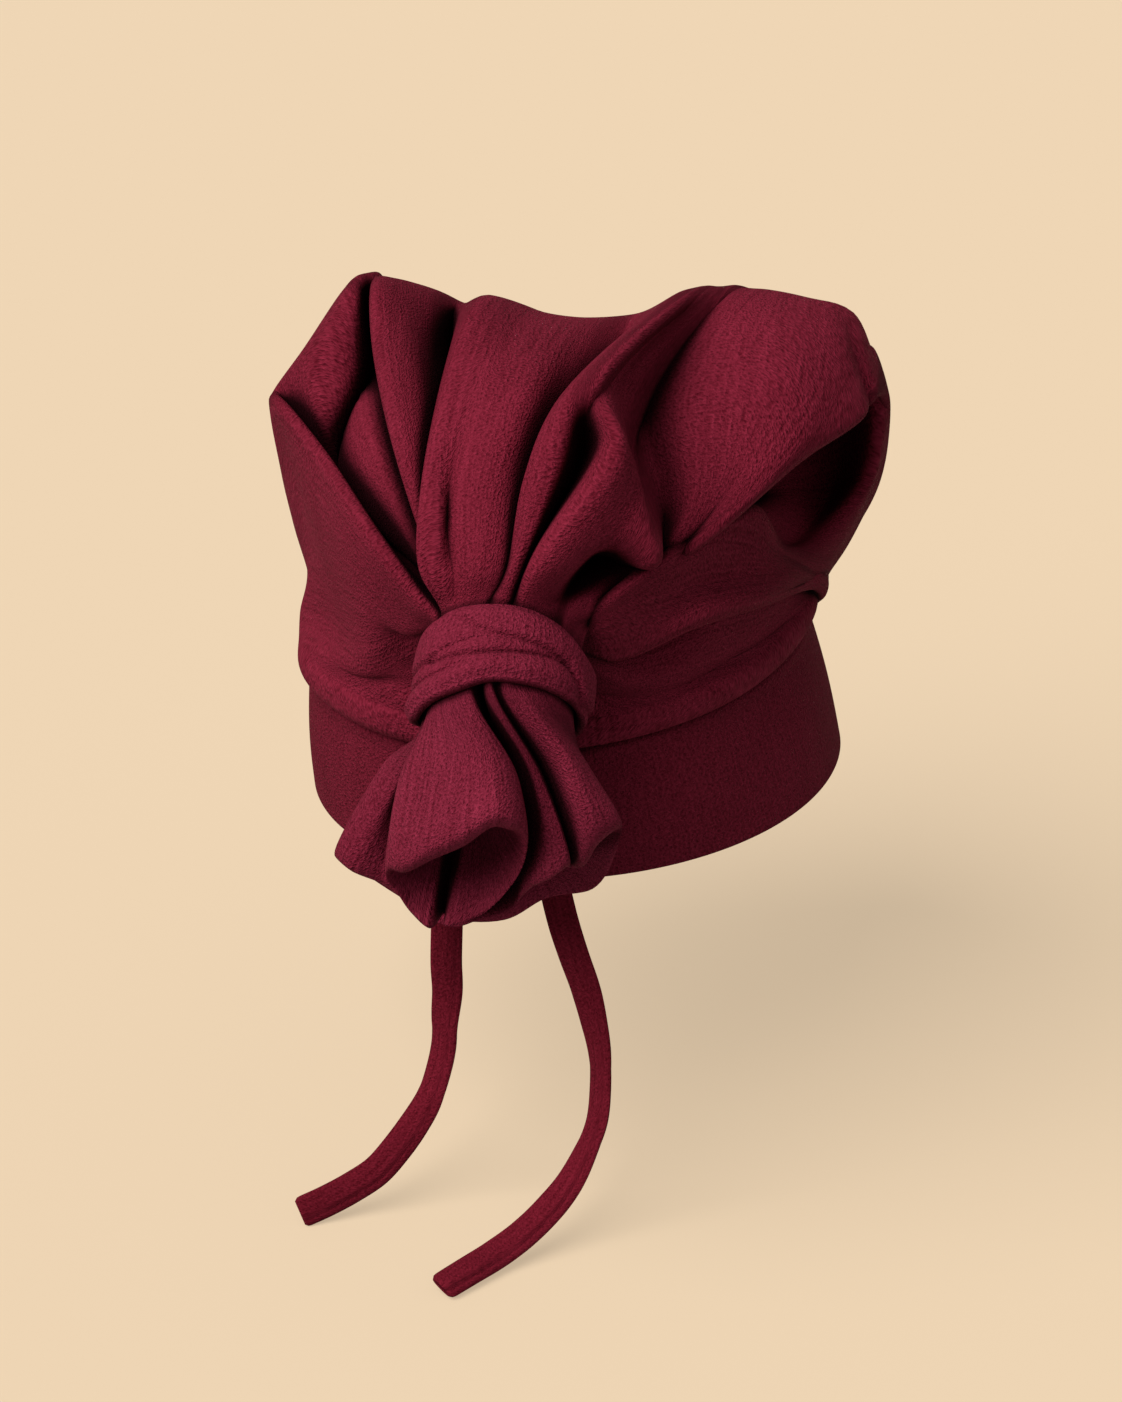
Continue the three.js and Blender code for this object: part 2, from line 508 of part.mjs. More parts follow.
const ties = new THREE.Group();
Object.entries(TIE_ROUTES).forEach(([name, route]) => ties.add(piece(name, tieGeometry(route), '#6b1427')));

const beanie = new THREE.Group();
beanie.add(
  piece('headband', bandGeometry(), '#641a2e'),
  piece('crown', crownGeometry(), '#6e1d33'),
  knot,
  ties,
);

export default beanie;
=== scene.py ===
"""A tie-knot beanie in burgundy crepe.

The hat is a headband, a full crown drawn forward into a knot, the wound wrap of the knot, the two
rolled cloth ends below it and two flat hanging ties. Tables are in millimetres but for the routes of
the ties, and all else is in metres. The knot faces -Y, up is +Z, and the wearer's left is +X.
"""
import logging
import math
from abc import ABC, abstractmethod
from dataclasses import dataclass
from enum import Enum
from typing import Sequence

import bpy
import numpy as np
from mathutils import Matrix, Vector
from mathutils.bvhtree import BVHTree


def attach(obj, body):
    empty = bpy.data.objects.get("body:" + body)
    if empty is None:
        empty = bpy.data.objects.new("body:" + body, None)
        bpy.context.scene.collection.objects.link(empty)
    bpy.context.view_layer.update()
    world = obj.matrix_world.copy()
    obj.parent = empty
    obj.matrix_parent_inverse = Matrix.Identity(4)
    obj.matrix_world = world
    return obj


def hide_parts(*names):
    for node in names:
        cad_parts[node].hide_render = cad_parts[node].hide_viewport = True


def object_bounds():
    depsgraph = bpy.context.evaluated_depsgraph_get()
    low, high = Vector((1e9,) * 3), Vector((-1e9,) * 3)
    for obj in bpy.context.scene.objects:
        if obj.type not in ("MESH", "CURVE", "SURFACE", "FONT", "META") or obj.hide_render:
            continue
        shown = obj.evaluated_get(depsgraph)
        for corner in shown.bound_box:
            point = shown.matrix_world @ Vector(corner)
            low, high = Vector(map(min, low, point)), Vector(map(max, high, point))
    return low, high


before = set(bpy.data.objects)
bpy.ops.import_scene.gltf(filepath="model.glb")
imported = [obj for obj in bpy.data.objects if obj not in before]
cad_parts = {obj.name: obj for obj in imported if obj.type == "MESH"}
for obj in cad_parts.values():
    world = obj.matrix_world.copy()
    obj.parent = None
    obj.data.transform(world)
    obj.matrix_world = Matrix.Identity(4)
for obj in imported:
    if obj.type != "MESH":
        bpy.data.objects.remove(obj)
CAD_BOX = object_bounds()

LOG = logging.getLogger("beanie")
PAINTED_FOLD_SHADE = "painted_fold_shade"  # the point attribute that the finishes read, to paint shade into the folds
MM = 0.001
Place = tuple[float, float, float]

# ---------- driving sizes ----------

CLOTH = 1.6 * MM
LAYER_SHARE = 0.34  # of the room between two layers of cloth that one wall may fill
BAND_WALL = 2.4 * MM
KNOT_CENTRE = (6.5, -118, 78)
KNOT_LEAN = 50.0  # degrees the knot's axis leans forward from upright
WRAP_INNER = 22.6
WRAP_OUTER = 25.2
WRAP_DRAW = 0.92  # share of its own room that each fold keeps inside the wrap
TIE_WIDTH = 10.0 * MM
TIE_THICKNESS = 3.4 * MM
LOOK_OFF = 0.05 * MM  # how far off the cloth a ray starts that measures its layers
CURVE_POWER = 0.5  # of a span's length, which keeps curves through uneven places from looping
LEAST_SPAN = 1e-4  # what that power is at least, and a length, so that nothing is divided by zero
LEAST_LENGTH = 1e-12
CREASE_FADE = 0.6  # how slowly a crease fades out at its ends
CREASE_END = 0.04  # share of its path within which a crease fades no further
CREASE_EVENING = (-8.0, -4.0, 0.0, 4.0, 8.0)  # degrees over which the wrap's creases are evened out
CURVE_STEPS = 24  # steps of a tie's curve between two places of its route


class PieceShade(Enum):
    """The burgundy of the hat's one cloth, as linear colours, in its own copy for each piece: painted light,
    lightest on the knot and darkest on the ties.
    """

    BAND = (0.128, 0.0085, 0.0198)
    CROWN = (0.158, 0.0107, 0.0250)
    KNOT = (0.172, 0.0136, 0.0318)
    TIE = (0.118, 0.0066, 0.0150)


# ---------- scene helpers ----------


def new_object(name: str, data: bpy.types.ID) -> bpy.types.Object:
    """Makes an object and links it into the scene.

    Args:
        name: The object's name.
        data: Its mesh, lamp or camera.

    Returns:
        The object.
    """
    made = bpy.data.objects.new(name, data)
    bpy.context.scene.collection.objects.link(made)
    return made


def direction_to(azimuth: float, elevation: float) -> Vector:
    """Gives the direction that lies at so many degrees from the front and over the level."""
    turn, rise = math.radians(azimuth), math.radians(elevation)
    return Vector((math.sin(turn) * math.cos(rise), -math.cos(turn) * math.cos(rise), math.sin(rise)))


def read_values(items: bpy.types.bpy_prop_collection, field: str, size: int,
                kind: type = float) -> np.ndarray:
    """Reads one field of every item of a mesh.

    Args:
        items: The mesh's vertices, edges or triangles.
        field: The field's name.
        size: How many numbers the field holds.
        kind: The type of the numbers.

    Returns:
        An array (items, size).
    """
    values = np.empty(len(items) * size, dtype=kind)
    items.foreach_get(field, values)
    return values.reshape(-1, size)


# ---------- curves and grids ----------


def places(rows: Sequence[Sequence[float]]) -> np.ndarray:
    """Turns table places in millimetres into an array in metres.

    Args:
        rows: Points of three numbers each.

    Returns:
        An array of the points, a row each.
    """
    return np.array(rows, float) * MM


def smooth_through(points: np.ndarray, steps: Sequence[int], closed: bool = False) -> np.ndarray:
    """Runs smooth curves through rows of points.

    Args:
        points: Array (rows, curves, 3); each curve goes through its own point of every row.
        steps: How many steps each span between two rows takes.
        closed: Whether the last row joins the first one.

    Returns:
        An array (rows out, curves, 3) of points along the curves.
    """
    if closed:
        padded = np.concatenate([points[-1:], points, points[:2]])
    else:
        ahead, behind = 2 * points[:1] - points[1:2], 2 * points[-1:] - points[-2:-1]
        padded = np.concatenate([ahead, points, behind])
    rows: list[np.ndarray] = []
    for span, count in enumerate(steps):
        before, start, end, after = padded[span:span + 4]
        first, middle, last = (
            np.maximum(np.linalg.norm(b - a, axis=-1, keepdims=True) ** CURVE_POWER, LEAST_SPAN)
            for a, b in ((before, start), (start, end), (end, after))
        )
        leaving = middle * ((start - before) / first - (end - before) / (first + middle)) + end - start
        arriving = middle * ((after - end) / last - (after - start) / (middle + last)) + end - start
        for t in np.arange(count) / count:
            rows.append(
                (2 * t**3 - 3 * t**2 + 1) * start + (t**3 - 2 * t**2 + t) * leaving
                + (3 * t**2 - 2 * t**3) * end + (t**3 - t**2) * arriving
            )
    if not closed:
        rows.append(points[-1])
    return np.array(rows)


def smoothstep(value: np.ndarray | float, low: float, high: float) -> np.ndarray | float:
    """Rises smoothly from 0 where the value is low to 1 where it is high."""
    share = np.clip((value - low) / (high - low), 0.0, 1.0)
    return share * share * (3 - 2 * share)


def grid_normals(points: np.ndarray) -> np.ndarray:
    """Finds the directions that face out of a grid closed across.

    Args:
        points: Array (rows, columns, 3), where the last column meets the first.

    Returns:
        Unit directions of the same shape, to the right of a walk along the columns' order.
    """
    across = np.roll(points, -1, axis=1) - np.roll(points, 1, axis=1)
    along = np.gradient(points, axis=0)
    normals = np.cross(across, along)
    return normals / np.maximum(np.linalg.norm(normals, axis=-1, keepdims=True), LEAST_LENGTH)


def distance_to_path(points: np.ndarray, path: np.ndarray) -> tuple[np.ndarray, np.ndarray]:
    """Measures how far points lie from a path.

    Args:
        points: Array (count, 3).
        path: Array (corners, 3).

    Returns:
        Each point's distance, and its share of the way along the path.
    """
    best = np.full(len(points), np.inf)
    share = np.zeros(len(points))
    spans = len(path) - 1
    for span in range(spans):
        start, way = path[span], path[span + 1] - path[span]
        t = np.clip((points - start) @ way / max(way @ way, LEAST_LENGTH), 0, 1)
        distance = np.linalg.norm(points - start - t[:, None] * way, axis=1)
        nearer = distance < best
        best[nearer] = distance[nearer]
        share[nearer] = (span + t[nearer]) / spans
    return best, share


@dataclass(frozen=True)
class Oval:
    """An oval ring round the head.

    Attributes:
        centre: Where its middle lies, x and y, in millimetres.
        half_width: Half its size along X.
        half_length: Half its size along Y.
        height: Its height over the origin.
        rise_left: How much it rises towards the wearer's left.
        rise_back: How much it rises towards the back.
    """

    centre: tuple[float, float]
    half_width: float
    half_length: float
    height: float
    rise_left: float = 0.0
    rise_back: float = 0.0

    def points(self, degrees: np.ndarray, swell: float = 0.0) -> np.ndarray:
        """Gives the ring's points at angles from the front towards the wearer's left.

        Args:
            degrees: The angles.
            swell: How much larger than the oval the ring is, as a share.

        Returns:
            An array (angles, 3) in metres.
        """
        turn = np.radians(degrees)
        x = self.centre[0] + np.sin(turn) * self.half_width * (1 + swell)
        y = self.centre[1] - np.cos(turn) * self.half_length * (1 + swell)
        z = self.height + self.rise_left * x + self.rise_back * y
        return np.stack([x, y, z], axis=-1) * MM


RIM = Oval((0, 0), 88, 98, 0)
SEAM = Oval((-5, 2), 81.5, 93, 46, rise_left=0.02, rise_back=0.06)


def outwards(degrees: np.ndarray) -> np.ndarray:
    """Gives level directions at angles from the front towards the wearer's left."""
    turn = np.radians(degrees)
    return np.stack([np.sin(turn), -np.cos(turn), np.zeros_like(turn)], axis=-1)


def knot_points(turns: np.ndarray, radius: np.ndarray | float, along: np.ndarray | float) -> np.ndarray:
    """Gives points round the knot's axis.

    Args:
        turns: Degrees round the axis from the wearer's left over the top.
        radius: Distance from the axis in millimetres.
        along: Place along the axis, up towards the crown, in millimetres.

    Returns:
        An array of points in metres.
    """
    lean, turn = math.radians(KNOT_LEAN), np.radians(turns)
    up = np.array([0, math.sin(lean), math.cos(lean)])
    top = np.array([0, -math.cos(lean), math.sin(lean)])
    side = np.array([1.0, 0, 0])
    turn, radius, along = (np.asarray(v, float)[..., None] for v in np.broadcast_arrays(turn, radius, along))
    out = radius * (side * np.cos(turn) + top * np.sin(turn))
    return (np.array(KNOT_CENTRE) + up * along + out) * MM


# ---------- cloth ----------


@dataclass(frozen=True)
class Crease:
    """A groove pressed into a cloth, or a ridge raised on it.

    Attributes:
        name: Where it lies.
        path: Points along it in millimetres.
        width: How wide it is at half its depth, in millimetres.
        depth: How deep it is at its middle, in millimetres; a ridge has a negative depth.
        way: The direction it is pressed in, where that isn't straight into the cloth.
    """

    name: str
    path: tuple[Place, ...]
    width: float
    depth: float
    way: Place | None = None

    def press(self, points: np.ndarray, normals: np.ndarray) -> np.ndarray:
        """Moves the points near the path into the cloth.

        Args:
            points: Array (count, 3) in metres.
            normals: The directions out of the cloth there.

        Returns:
            The moved points.
        """
        distance, share = distance_to_path(points, places(self.path))
        profile = 0.5 ** ((2 * distance / (self.width * MM)) ** 2)
        ends = np.sin(np.pi * np.clip(share, CREASE_END, 1 - CREASE_END)) ** CREASE_FADE
        inwards = -normals if self.way is None else np.array(self.way) / np.linalg.norm(self.way)
        return points + inwards * (self.depth * MM * profile * ends)[:, None]


class ClothMesh:
    """Collects the faces of one closed body of cloth, with places across and along the weave."""

    def __init__(self) -> None:
        """Starts without points or faces."""
        self.points: list[np.ndarray] = []
        self.faces: list[tuple[int, ...]] = []
        self.weave: list[tuple[tuple[float, float], ...]] = []
        self.count = 0

    @classmethod
    def ring_of(cls, grid: np.ndarray) -> "ClothMesh":
        """Skins a body that closes along as well as across.

        Args:
            grid: Array (rows, columns, 3), with its first row once more at the end.

        Returns:
            The closed body.
        """
        mesh = cls()
        numbers = mesh.add_points(grid[:-1])
        mesh.add_grid(np.vstack([numbers, numbers[:1]]), *weave_places(grid))
        return mesh

    @classmethod
    def tube_of(cls, rings: np.ndarray, start: np.ndarray, end: np.ndarray) -> "ClothMesh":
        """Skins a tube and closes it with a fan at each end.

        Args:
            rings: Array (rows, columns, 3).
            start: The middle of the fan at the first row.
            end: The middle of the fan at the last row.

        Returns:
            The closed body.
        """
        mesh = cls()
        numbers = mesh.add_points(rings)
        mesh.add_grid(numbers, *weave_places(rings))
        mesh.add_fan(numbers[0], start, flip=True)
        mesh.add_fan(numbers[-1], end)
        return mesh

    def add_points(self, points: np.ndarray) -> np.ndarray:
        """Adds points.

        Args:
            points: An array of places, in a grid of any shape.

        Returns:
            The points' numbers, in the same grid.
        """
        flat = points.reshape(-1, 3)
        numbers = np.arange(self.count, self.count + len(flat)).reshape(points.shape[:-1])
        self.points.append(flat)
        self.count += len(flat)
        return numbers

    def add_grid(self, numbers: np.ndarray, across: np.ndarray, along: np.ndarray,
                 flip: bool = False) -> None:
        """Skins a grid that is closed across.

        Args:
            numbers: The points' numbers, (rows, columns).
            across: Place across the weave at each column and once more at the closing one.
            along: Place along the weave at each row and column.
            flip: Whether the faces look the other way.
        """
        rows, columns = numbers.shape
        following = np.roll(numbers, -1, axis=1)
        beside = np.roll(along, -1, axis=1)
        for row in range(rows - 1):
            for column in range(columns):
                face = (
                    numbers[row, column], following[row, column],
                    following[row + 1, column], numbers[row + 1, column],
                )
                left, right = across[column], across[column + 1]
                weave = (
                    (left, along[row, column]), (right, beside[row, column]),
                    (right, beside[row + 1, column]), (left, along[row + 1, column]),
                )
                self.faces.append(face[::-1] if flip else face)
                self.weave.append(weave[::-1] if flip else weave)

    def add_fan(self, ring: np.ndarray, centre: np.ndarray, flip: bool = False) -> None:
        """Closes a ring with a fan of faces round one point.

        Args:
            ring: The numbers of the ring's points.
            centre: The place of the point in the middle.
            flip: Whether the faces look the other way.
        """
        middle = int(self.add_points(centre[None])[0])
        for vertex, following in zip(ring, np.roll(ring, -1)):
            face = (int(vertex), int(following), middle)
            self.faces.append(face[::-1] if flip else face)
            self.weave.append(((0.0, 0.0),) * 3)

    def to_object(self, name: str) -> bpy.types.Object:
        """Makes a smooth-shaded mesh object of the faces, looking outwards.

        Args:
            name: The object's name.

        Returns:
            The object, linked into the scene.
        """
        points = np.concatenate(self.points)
        mesh = bpy.data.meshes.new(name)
        mesh.from_pydata(points.tolist(), [], [tuple(map(int, face)) for face in self.faces])
        layer = mesh.uv_layers.new(name="weave")
        layer.data.foreach_set("uv", np.concatenate([np.ravel(corners) for corners in self.weave]))
        mesh.shade_smooth()
        mesh.validate()
        if enclosed_volume(mesh) < 0:
            mesh.flip_normals()
        return new_object(name, mesh)


def enclosed_volume(mesh: bpy.types.Mesh) -> float:
    """Measures the volume inside a mesh.

    Args:
        mesh: A closed mesh.

    Returns:
        The volume, below zero where the faces look inwards.
    """
    mesh.calc_loop_triangles()
    corners = read_values(mesh.loop_triangles, "vertices", 3, np.int32)
    a, b, c = np.moveaxis(read_values(mesh.vertices, "co", 3)[corners], 1, 0)
    return float(np.einsum("ij,ij->", a, np.cross(b, c)) / 6)


def weave_places(points: np.ndarray) -> tuple[np.ndarray, np.ndarray]:
    """Measures a grid closed across, along and across its weave.

    Args:
        points: Array (rows, columns, 3).

    Returns:
        Place across at each column and once more at the closing one, from the widest row, and
        place along at each point.
    """
    steps = np.linalg.norm(np.roll(points, -1, axis=1) - points, axis=-1)
    widest = steps[np.argmax(steps.sum(axis=1))]
    across = np.concatenate([[0.0], np.cumsum(widest)])
    lengths = np.linalg.norm(np.diff(points, axis=0), axis=-1)
    along = np.concatenate([np.zeros((1, points.shape[1])), np.cumsum(lengths, axis=0)])
    return across, along


def cloth_depths(points: np.ndarray, inwards: np.ndarray, faces: list[tuple[int, ...]]) -> np.ndarray:
    """Finds how thick the cloth may be at each point.

    Args:
        points: Array (count, 3) on the outer face.
        inwards: The directions into the cloth.
        faces: The outer face's faces.

    Returns:
        The cloth's wall, or less where another layer lies near.
    """
    tree = BVHTree.FromPolygons(points.tolist(), [tuple(map(int, face)) for face in faces])
    depths = np.full(len(points), CLOTH)
    for i, (point, inward) in enumerate(zip(points, inwards)):
        distance = tree.ray_cast(Vector(point + inward * LOOK_OFF), Vector(inward), CLOTH / LAYER_SHARE)[3]
        if distance is not None:
            depths[i] = min(CLOTH, distance * LAYER_SHARE)
    return depths


# ---------- finishes ----------


@dataclass(frozen=True)
class PaintedFoldShade:
    """Marks how far each place of the cloth lies inside a fold, for the finishes to darken it there with
    painted shade.

    Attributes:
        reach: How far off other cloth still closes a fold, in metres.
        looks: In how many directions each place looks out.
        start: How far off the cloth it looks from, in metres.
        evenings: How often the depths are evened out between neighbours.
        upright: Height of a unit direction from which on it counts as upright.
    """

    reach: float = 0.06
    looks: int = 14
    start: float = 0.6 * MM
    evenings: int = 3
    upright: float = 0.9

    def mark(self, pieces: Sequence[bpy.types.Object]) -> None:
        """Gives every point of the pieces its depth in the folds, from 0 in the open to 1, for the painted
        shade.

        Args:
            pieces: The pieces of cloth, which hide each other too.
        """
        bpy.context.view_layer.update()
        corners: list[np.ndarray] = []
        faces: list[list[int]] = []
        count = 0
        for piece in pieces:
            points = self._points(piece)
            faces += [[count + corner for corner in face.vertices] for face in piece.data.polygons]
            corners.append(points)
            count += len(points)
        tree = BVHTree.FromPolygons(np.concatenate(corners).tolist(), faces)
        for piece, points in zip(pieces, corners):
            depth = self._smoothed(piece.data, self._closed_share(tree, points, self._normals(piece)))
            layer = piece.data.attributes.new(PAINTED_FOLD_SHADE, "FLOAT", "POINT")
            layer.data.foreach_set("value", depth.astype(np.float32))

    def _points(self, piece: bpy.types.Object) -> np.ndarray:
        """Gives where a piece's points lie in the scene."""
        turn = np.array(piece.matrix_world)
        return read_values(piece.data.vertices, "co", 3) @ turn[:3, :3].T + turn[:3, 3]

    def _normals(self, piece: bpy.types.Object) -> np.ndarray:
        """Gives the directions out of the cloth at a piece's points."""
        return read_values(piece.data.vertices, "normal", 3) @ np.array(piece.matrix_world)[:3, :3].T

    def _closed_share(self, tree: BVHTree, points: np.ndarray, normals: np.ndarray) -> np.ndarray:
        """Looks out from each point and sums up how much near cloth closes the view.

        Args:
            tree: All the cloth.
            points: Array (count, 3).
            normals: The directions out of the cloth there.

        Returns:
            How closed each point's view is, from 0 to 1.
        """
        helper = np.where(np.abs(normals[:, 2:]) > self.upright, (1.0, 0.0, 0.0), (0.0, 0.0, 1.0))
        side = np.cross(normals, helper)
        side /= np.linalg.norm(side, axis=1, keepdims=True)
        frames = np.stack([side, np.cross(normals, side), normals], axis=1)
        ways = np.einsum("ki,nkj->nij", self._directions(), frames).tolist()
        starts = (points + normals * self.start).tolist()
        closed = np.zeros(len(points))
        for i, (start, directions) in enumerate(zip(starts, ways)):
            for direction in directions:
                distance = tree.ray_cast(start, direction, self.reach)[3]
                if distance is not None:
                    closed[i] += 1 - distance / self.reach
        return closed / self.looks

    def _directions(self) -> np.ndarray:
        """Spreads the looks over the half sphere out of the cloth, more of them straight out.

        Returns:
            An array (3, looks) of directions across, along and out of the cloth.
        """
        shares = (np.arange(self.looks) + 0.5) / self.looks
        turns = np.arange(self.looks) * math.pi * (3 - math.sqrt(5))
        aside = np.sqrt(shares)
        return np.stack([aside * np.cos(turns), aside * np.sin(turns), np.sqrt(1 - shares)])

    def _smoothed(self, mesh: bpy.types.Mesh, values: np.ndarray) -> np.ndarray:
        """Evens out values between neighbouring points.

        Args:
            mesh: The mesh that the values belong to.
            values: One value for each of its points.

        Returns:
            The evened values.
        """
        edges = read_values(mesh.edges, "vertices", 2, np.int32)
        starts, ends = edges.T
        count = len(values)
        near = np.bincount(edges.ravel(), minlength=count) + 1
        for _ in range(self.evenings):
            total = np.bincount(starts, values[ends], count) + np.bincount(ends, values[starts], count)
            values = (total + values) / near
        return values


@dataclass(frozen=True)
class Threads:
    """One set of uneven raised threads in a cloth.

    Attributes:
        width: How wide a thread is, as a share of the cloth's grain.
        length: How long it is, as a share of the grain.
        lean: How far it turns from the line across the cloth, in degrees.
        share: How much it adds to the cloth's height.
    """

    width: float
    length: float
    lean: float
    share: float = 1.0


NOISE_ROUGHNESS = 0.6  # how strongly the finer layers of a noise tell
THREAD_DETAIL = 1.0  # how many finer layers the threads have
CLOUD_DETAIL = 3.0  # and the clouds
GRAIN_THREADS = (Threads(0.75, 1.2, 28, 1.2), Threads(0.7, 0.95, -38, 1.1), Threads(0.8, 4.5, 94, 0.6))
SLUB_THREADS = Threads(1.5, 32, 90)


@dataclass(frozen=True)
class Shading:
    """How a cloth's colour varies with its relief and its folds: painted shade in the grain's hollows and in
    the folds, a painted highlight on the grain's tops, and the cloth's own uneven clouds of tone.

    Attributes:
        deep: Shares of the colour's red, green and blue in the grain's hollows, as painted shade.
        light: The same on its tops, as a painted highlight.
        span: Tones at which the deep and the light shade are reached.
        folds: Depths in the folds, from 0 to 1, between which the painted shade darkens the colour.
        fold_shade_darkest: Share of the colour that is left under the painted shade in the deepest folds.
        by_height: How much the relief tells in the tone, and so in its painted shade and highlight.
        by_clouds: How much wide soft clouds tell in it.
        clouds: How many clouds lie on a metre.
    """

    deep: Place = (0.55, 0.42, 0.46)
    light: Place = (1.5, 1.75, 1.68)
    span: tuple[float, float] = (0.22, 0.78)
    folds: tuple[float, float] = (0.22, 0.68)
    fold_shade_darkest: float = 0.07
    by_height: float = 0.75
    by_clouds: float = 0.4
    clouds: float = 14.0


@dataclass(frozen=True)
class ClothFinish:
    """A crepe cloth's looks.

    Attributes:
        name: The material's name.
        piece_shade: Its piece's copy of the burgundy, with painted light in its brightness.
        grain: Pitch of the crepe's grain in metres.
        relief: How deep the grain is, in metres.
        slub: How strongly thicker threads show along the cloth, from 0 to 1.
        grained: How strongly the grain shows, from 0 to 1.
        roughness: The shader's roughness.
        specular: How strongly it shines.
        sheen: How much the cloth's fuzz catches the light.
        sheen_roughness: How widely the fuzz spreads the light.
        sheen_tint: The colour of the fuzz.
        shading: How the dye varies.
    """

    name: str
    piece_shade: PieceShade
    grain: float = 0.00105
    relief: float = 0.0009
    slub: float = 0.5
    grained: float = 0.8
    roughness: float = 0.86
    specular: float = 0.02
    sheen: float = 0.025
    sheen_roughness: float = 0.45
    sheen_tint: tuple[float, float, float, float] = (1.0, 0.2, 0.3, 1.0)
    shading: Shading = Shading()

    def material(self) -> bpy.types.Material:
        """Lays out the finish's nodes.

        Returns:
            The new material.
        """
        material = bpy.data.materials.new(self.name)
        material.use_nodes = True
        nodes = material.node_tree
        shader = nodes.nodes["Principled BSDF"]
        shader.inputs["Roughness"].default_value = self.roughness
        shader.inputs["Specular IOR Level"].default_value = self.specular
        shader.inputs["Sheen Weight"].default_value = self.sheen
        shader.inputs["Sheen Roughness"].default_value = self.sheen_roughness
        shader.inputs["Sheen Tint"].default_value = self.sheen_tint
        place = self._node(nodes, "ShaderNodeTexCoord")
        weave = place.outputs["UV"]
        grain = self._sum(nodes, [(self._threads(nodes, weave, kind), kind.share) for kind in GRAIN_THREADS])
        slubs = self._threads(nodes, weave, SLUB_THREADS)
        clouds = self._noise(nodes, place.outputs["Object"], self.shading.clouds, CLOUD_DETAIL)
        height = self._sum(nodes, ((grain, self.grained), (slubs, self.slub)))
        bump = self._node(nodes, "ShaderNodeBump")
        bump.inputs["Strength"].default_value = 1.0
        bump.inputs["Distance"].default_value = self.relief
        nodes.links.new(height, bump.inputs["Height"])
        nodes.links.new(bump.outputs["Normal"], shader.inputs["Normal"])
        tone = self._sum(nodes, ((height, self.shading.by_height), (clouds, self.shading.by_clouds)))
        nodes.links.new(self._shades(nodes, tone), shader.inputs["Base Color"])
        return material

    def _node(self, tree: bpy.types.NodeTree, kind: str, **settings: object) -> bpy.types.Node:
        """Adds a node.

        Args:
            tree: The material's nodes.
            kind: The node's type.
            **settings: The node's own settings, by name.

        Returns:
            The new node.
        """
        node = tree.nodes.new(kind)
        for name, value in settings.items():
            setattr(node, name, value)
        return node

    def _noise(self, tree: bpy.types.NodeTree, place: bpy.types.NodeSocket, scale: float,
               detail: float) -> bpy.types.NodeSocket:
        """Adds noise that is even in every direction.

        Args:
            tree: The material's nodes.
            place: Where on the cloth the noise is read.
            scale: How many spots lie on a unit of the place.
            detail: How many finer layers it has.

        Returns:
            The noise's value, about 0.5.
        """
        noise = self._node(tree, "ShaderNodeTexNoise")
        for field, value in (("Scale", scale), ("Detail", detail), ("Roughness", NOISE_ROUGHNESS)):
            noise.inputs[field].default_value = value
        tree.links.new(place, noise.inputs["Vector"])
        return noise.outputs["Fac"]

    def _threads(self, tree: bpy.types.NodeTree, weave: bpy.types.NodeSocket,
                 threads: Threads) -> bpy.types.NodeSocket:
        """Adds uneven raised threads that lean across the weave.

        Args:
            tree: The material's nodes.
            weave: Places on the weave, in metres.
            threads: The threads' size and lean.

        Returns:
            How high the threads stand, about 0.5.
        """
        turned = self._node(tree, "ShaderNodeMapping", vector_type="TEXTURE")
        turned.inputs["Rotation"].default_value = (0, 0, math.radians(threads.lean))
        turned.inputs["Scale"].default_value = (threads.length * self.grain, threads.width * self.grain, 1)
        tree.links.new(weave, turned.inputs["Vector"])
        return self._noise(tree, turned.outputs["Vector"], 1.0, THREAD_DETAIL)

    def _sum(self, tree: bpy.types.NodeTree,
             parts: Sequence[tuple[bpy.types.NodeSocket, float]]) -> bpy.types.NodeSocket:
        """Adds up values that vary about 0.5 into one that does too.

        Args:
            tree: The material's nodes.
            parts: Each value and how much it tells.

        Returns:
            The sum.
        """
        total: bpy.types.NodeSocket | None = None
        for socket, share in parts:
            step = self._node(tree, "ShaderNodeMath", operation="MULTIPLY_ADD")
            tree.links.new(socket, step.inputs[0])
            step.inputs[1].default_value = share
            step.inputs[2].default_value = 0.5 - 0.5 * sum(share for _, share in parts)
            if total is not None:
                tree.links.new(total, step.inputs[2])
            total = step.outputs[0]
        return total

    def _shades(self, tree: bpy.types.NodeTree, tone: bpy.types.NodeSocket) -> bpy.types.NodeSocket:
        """Colours the cloth from its deep shade to its light one, with painted shade in the grain's hollows
        and a painted highlight on its tops, and darkens it inside its folds with painted shade.

        Args:
            tree: The material's nodes.
            tone: How light the cloth is, about 0.5.

        Returns:
            The cloth's colour.
        """
        shading = self.shading
        ramp = self._node(tree, "ShaderNodeValToRGB")
        # painted shade in the grain's hollows and a painted highlight on its tops
        ends = zip(ramp.color_ramp.elements, shading.span, (shading.deep, shading.light))
        for element, position, shares in ends:
            element.position = position
            element.color = (*(piece_shade * share for piece_shade, share in zip(self.piece_shade.value, shares)), 1)
        tree.links.new(tone, ramp.inputs["Fac"])
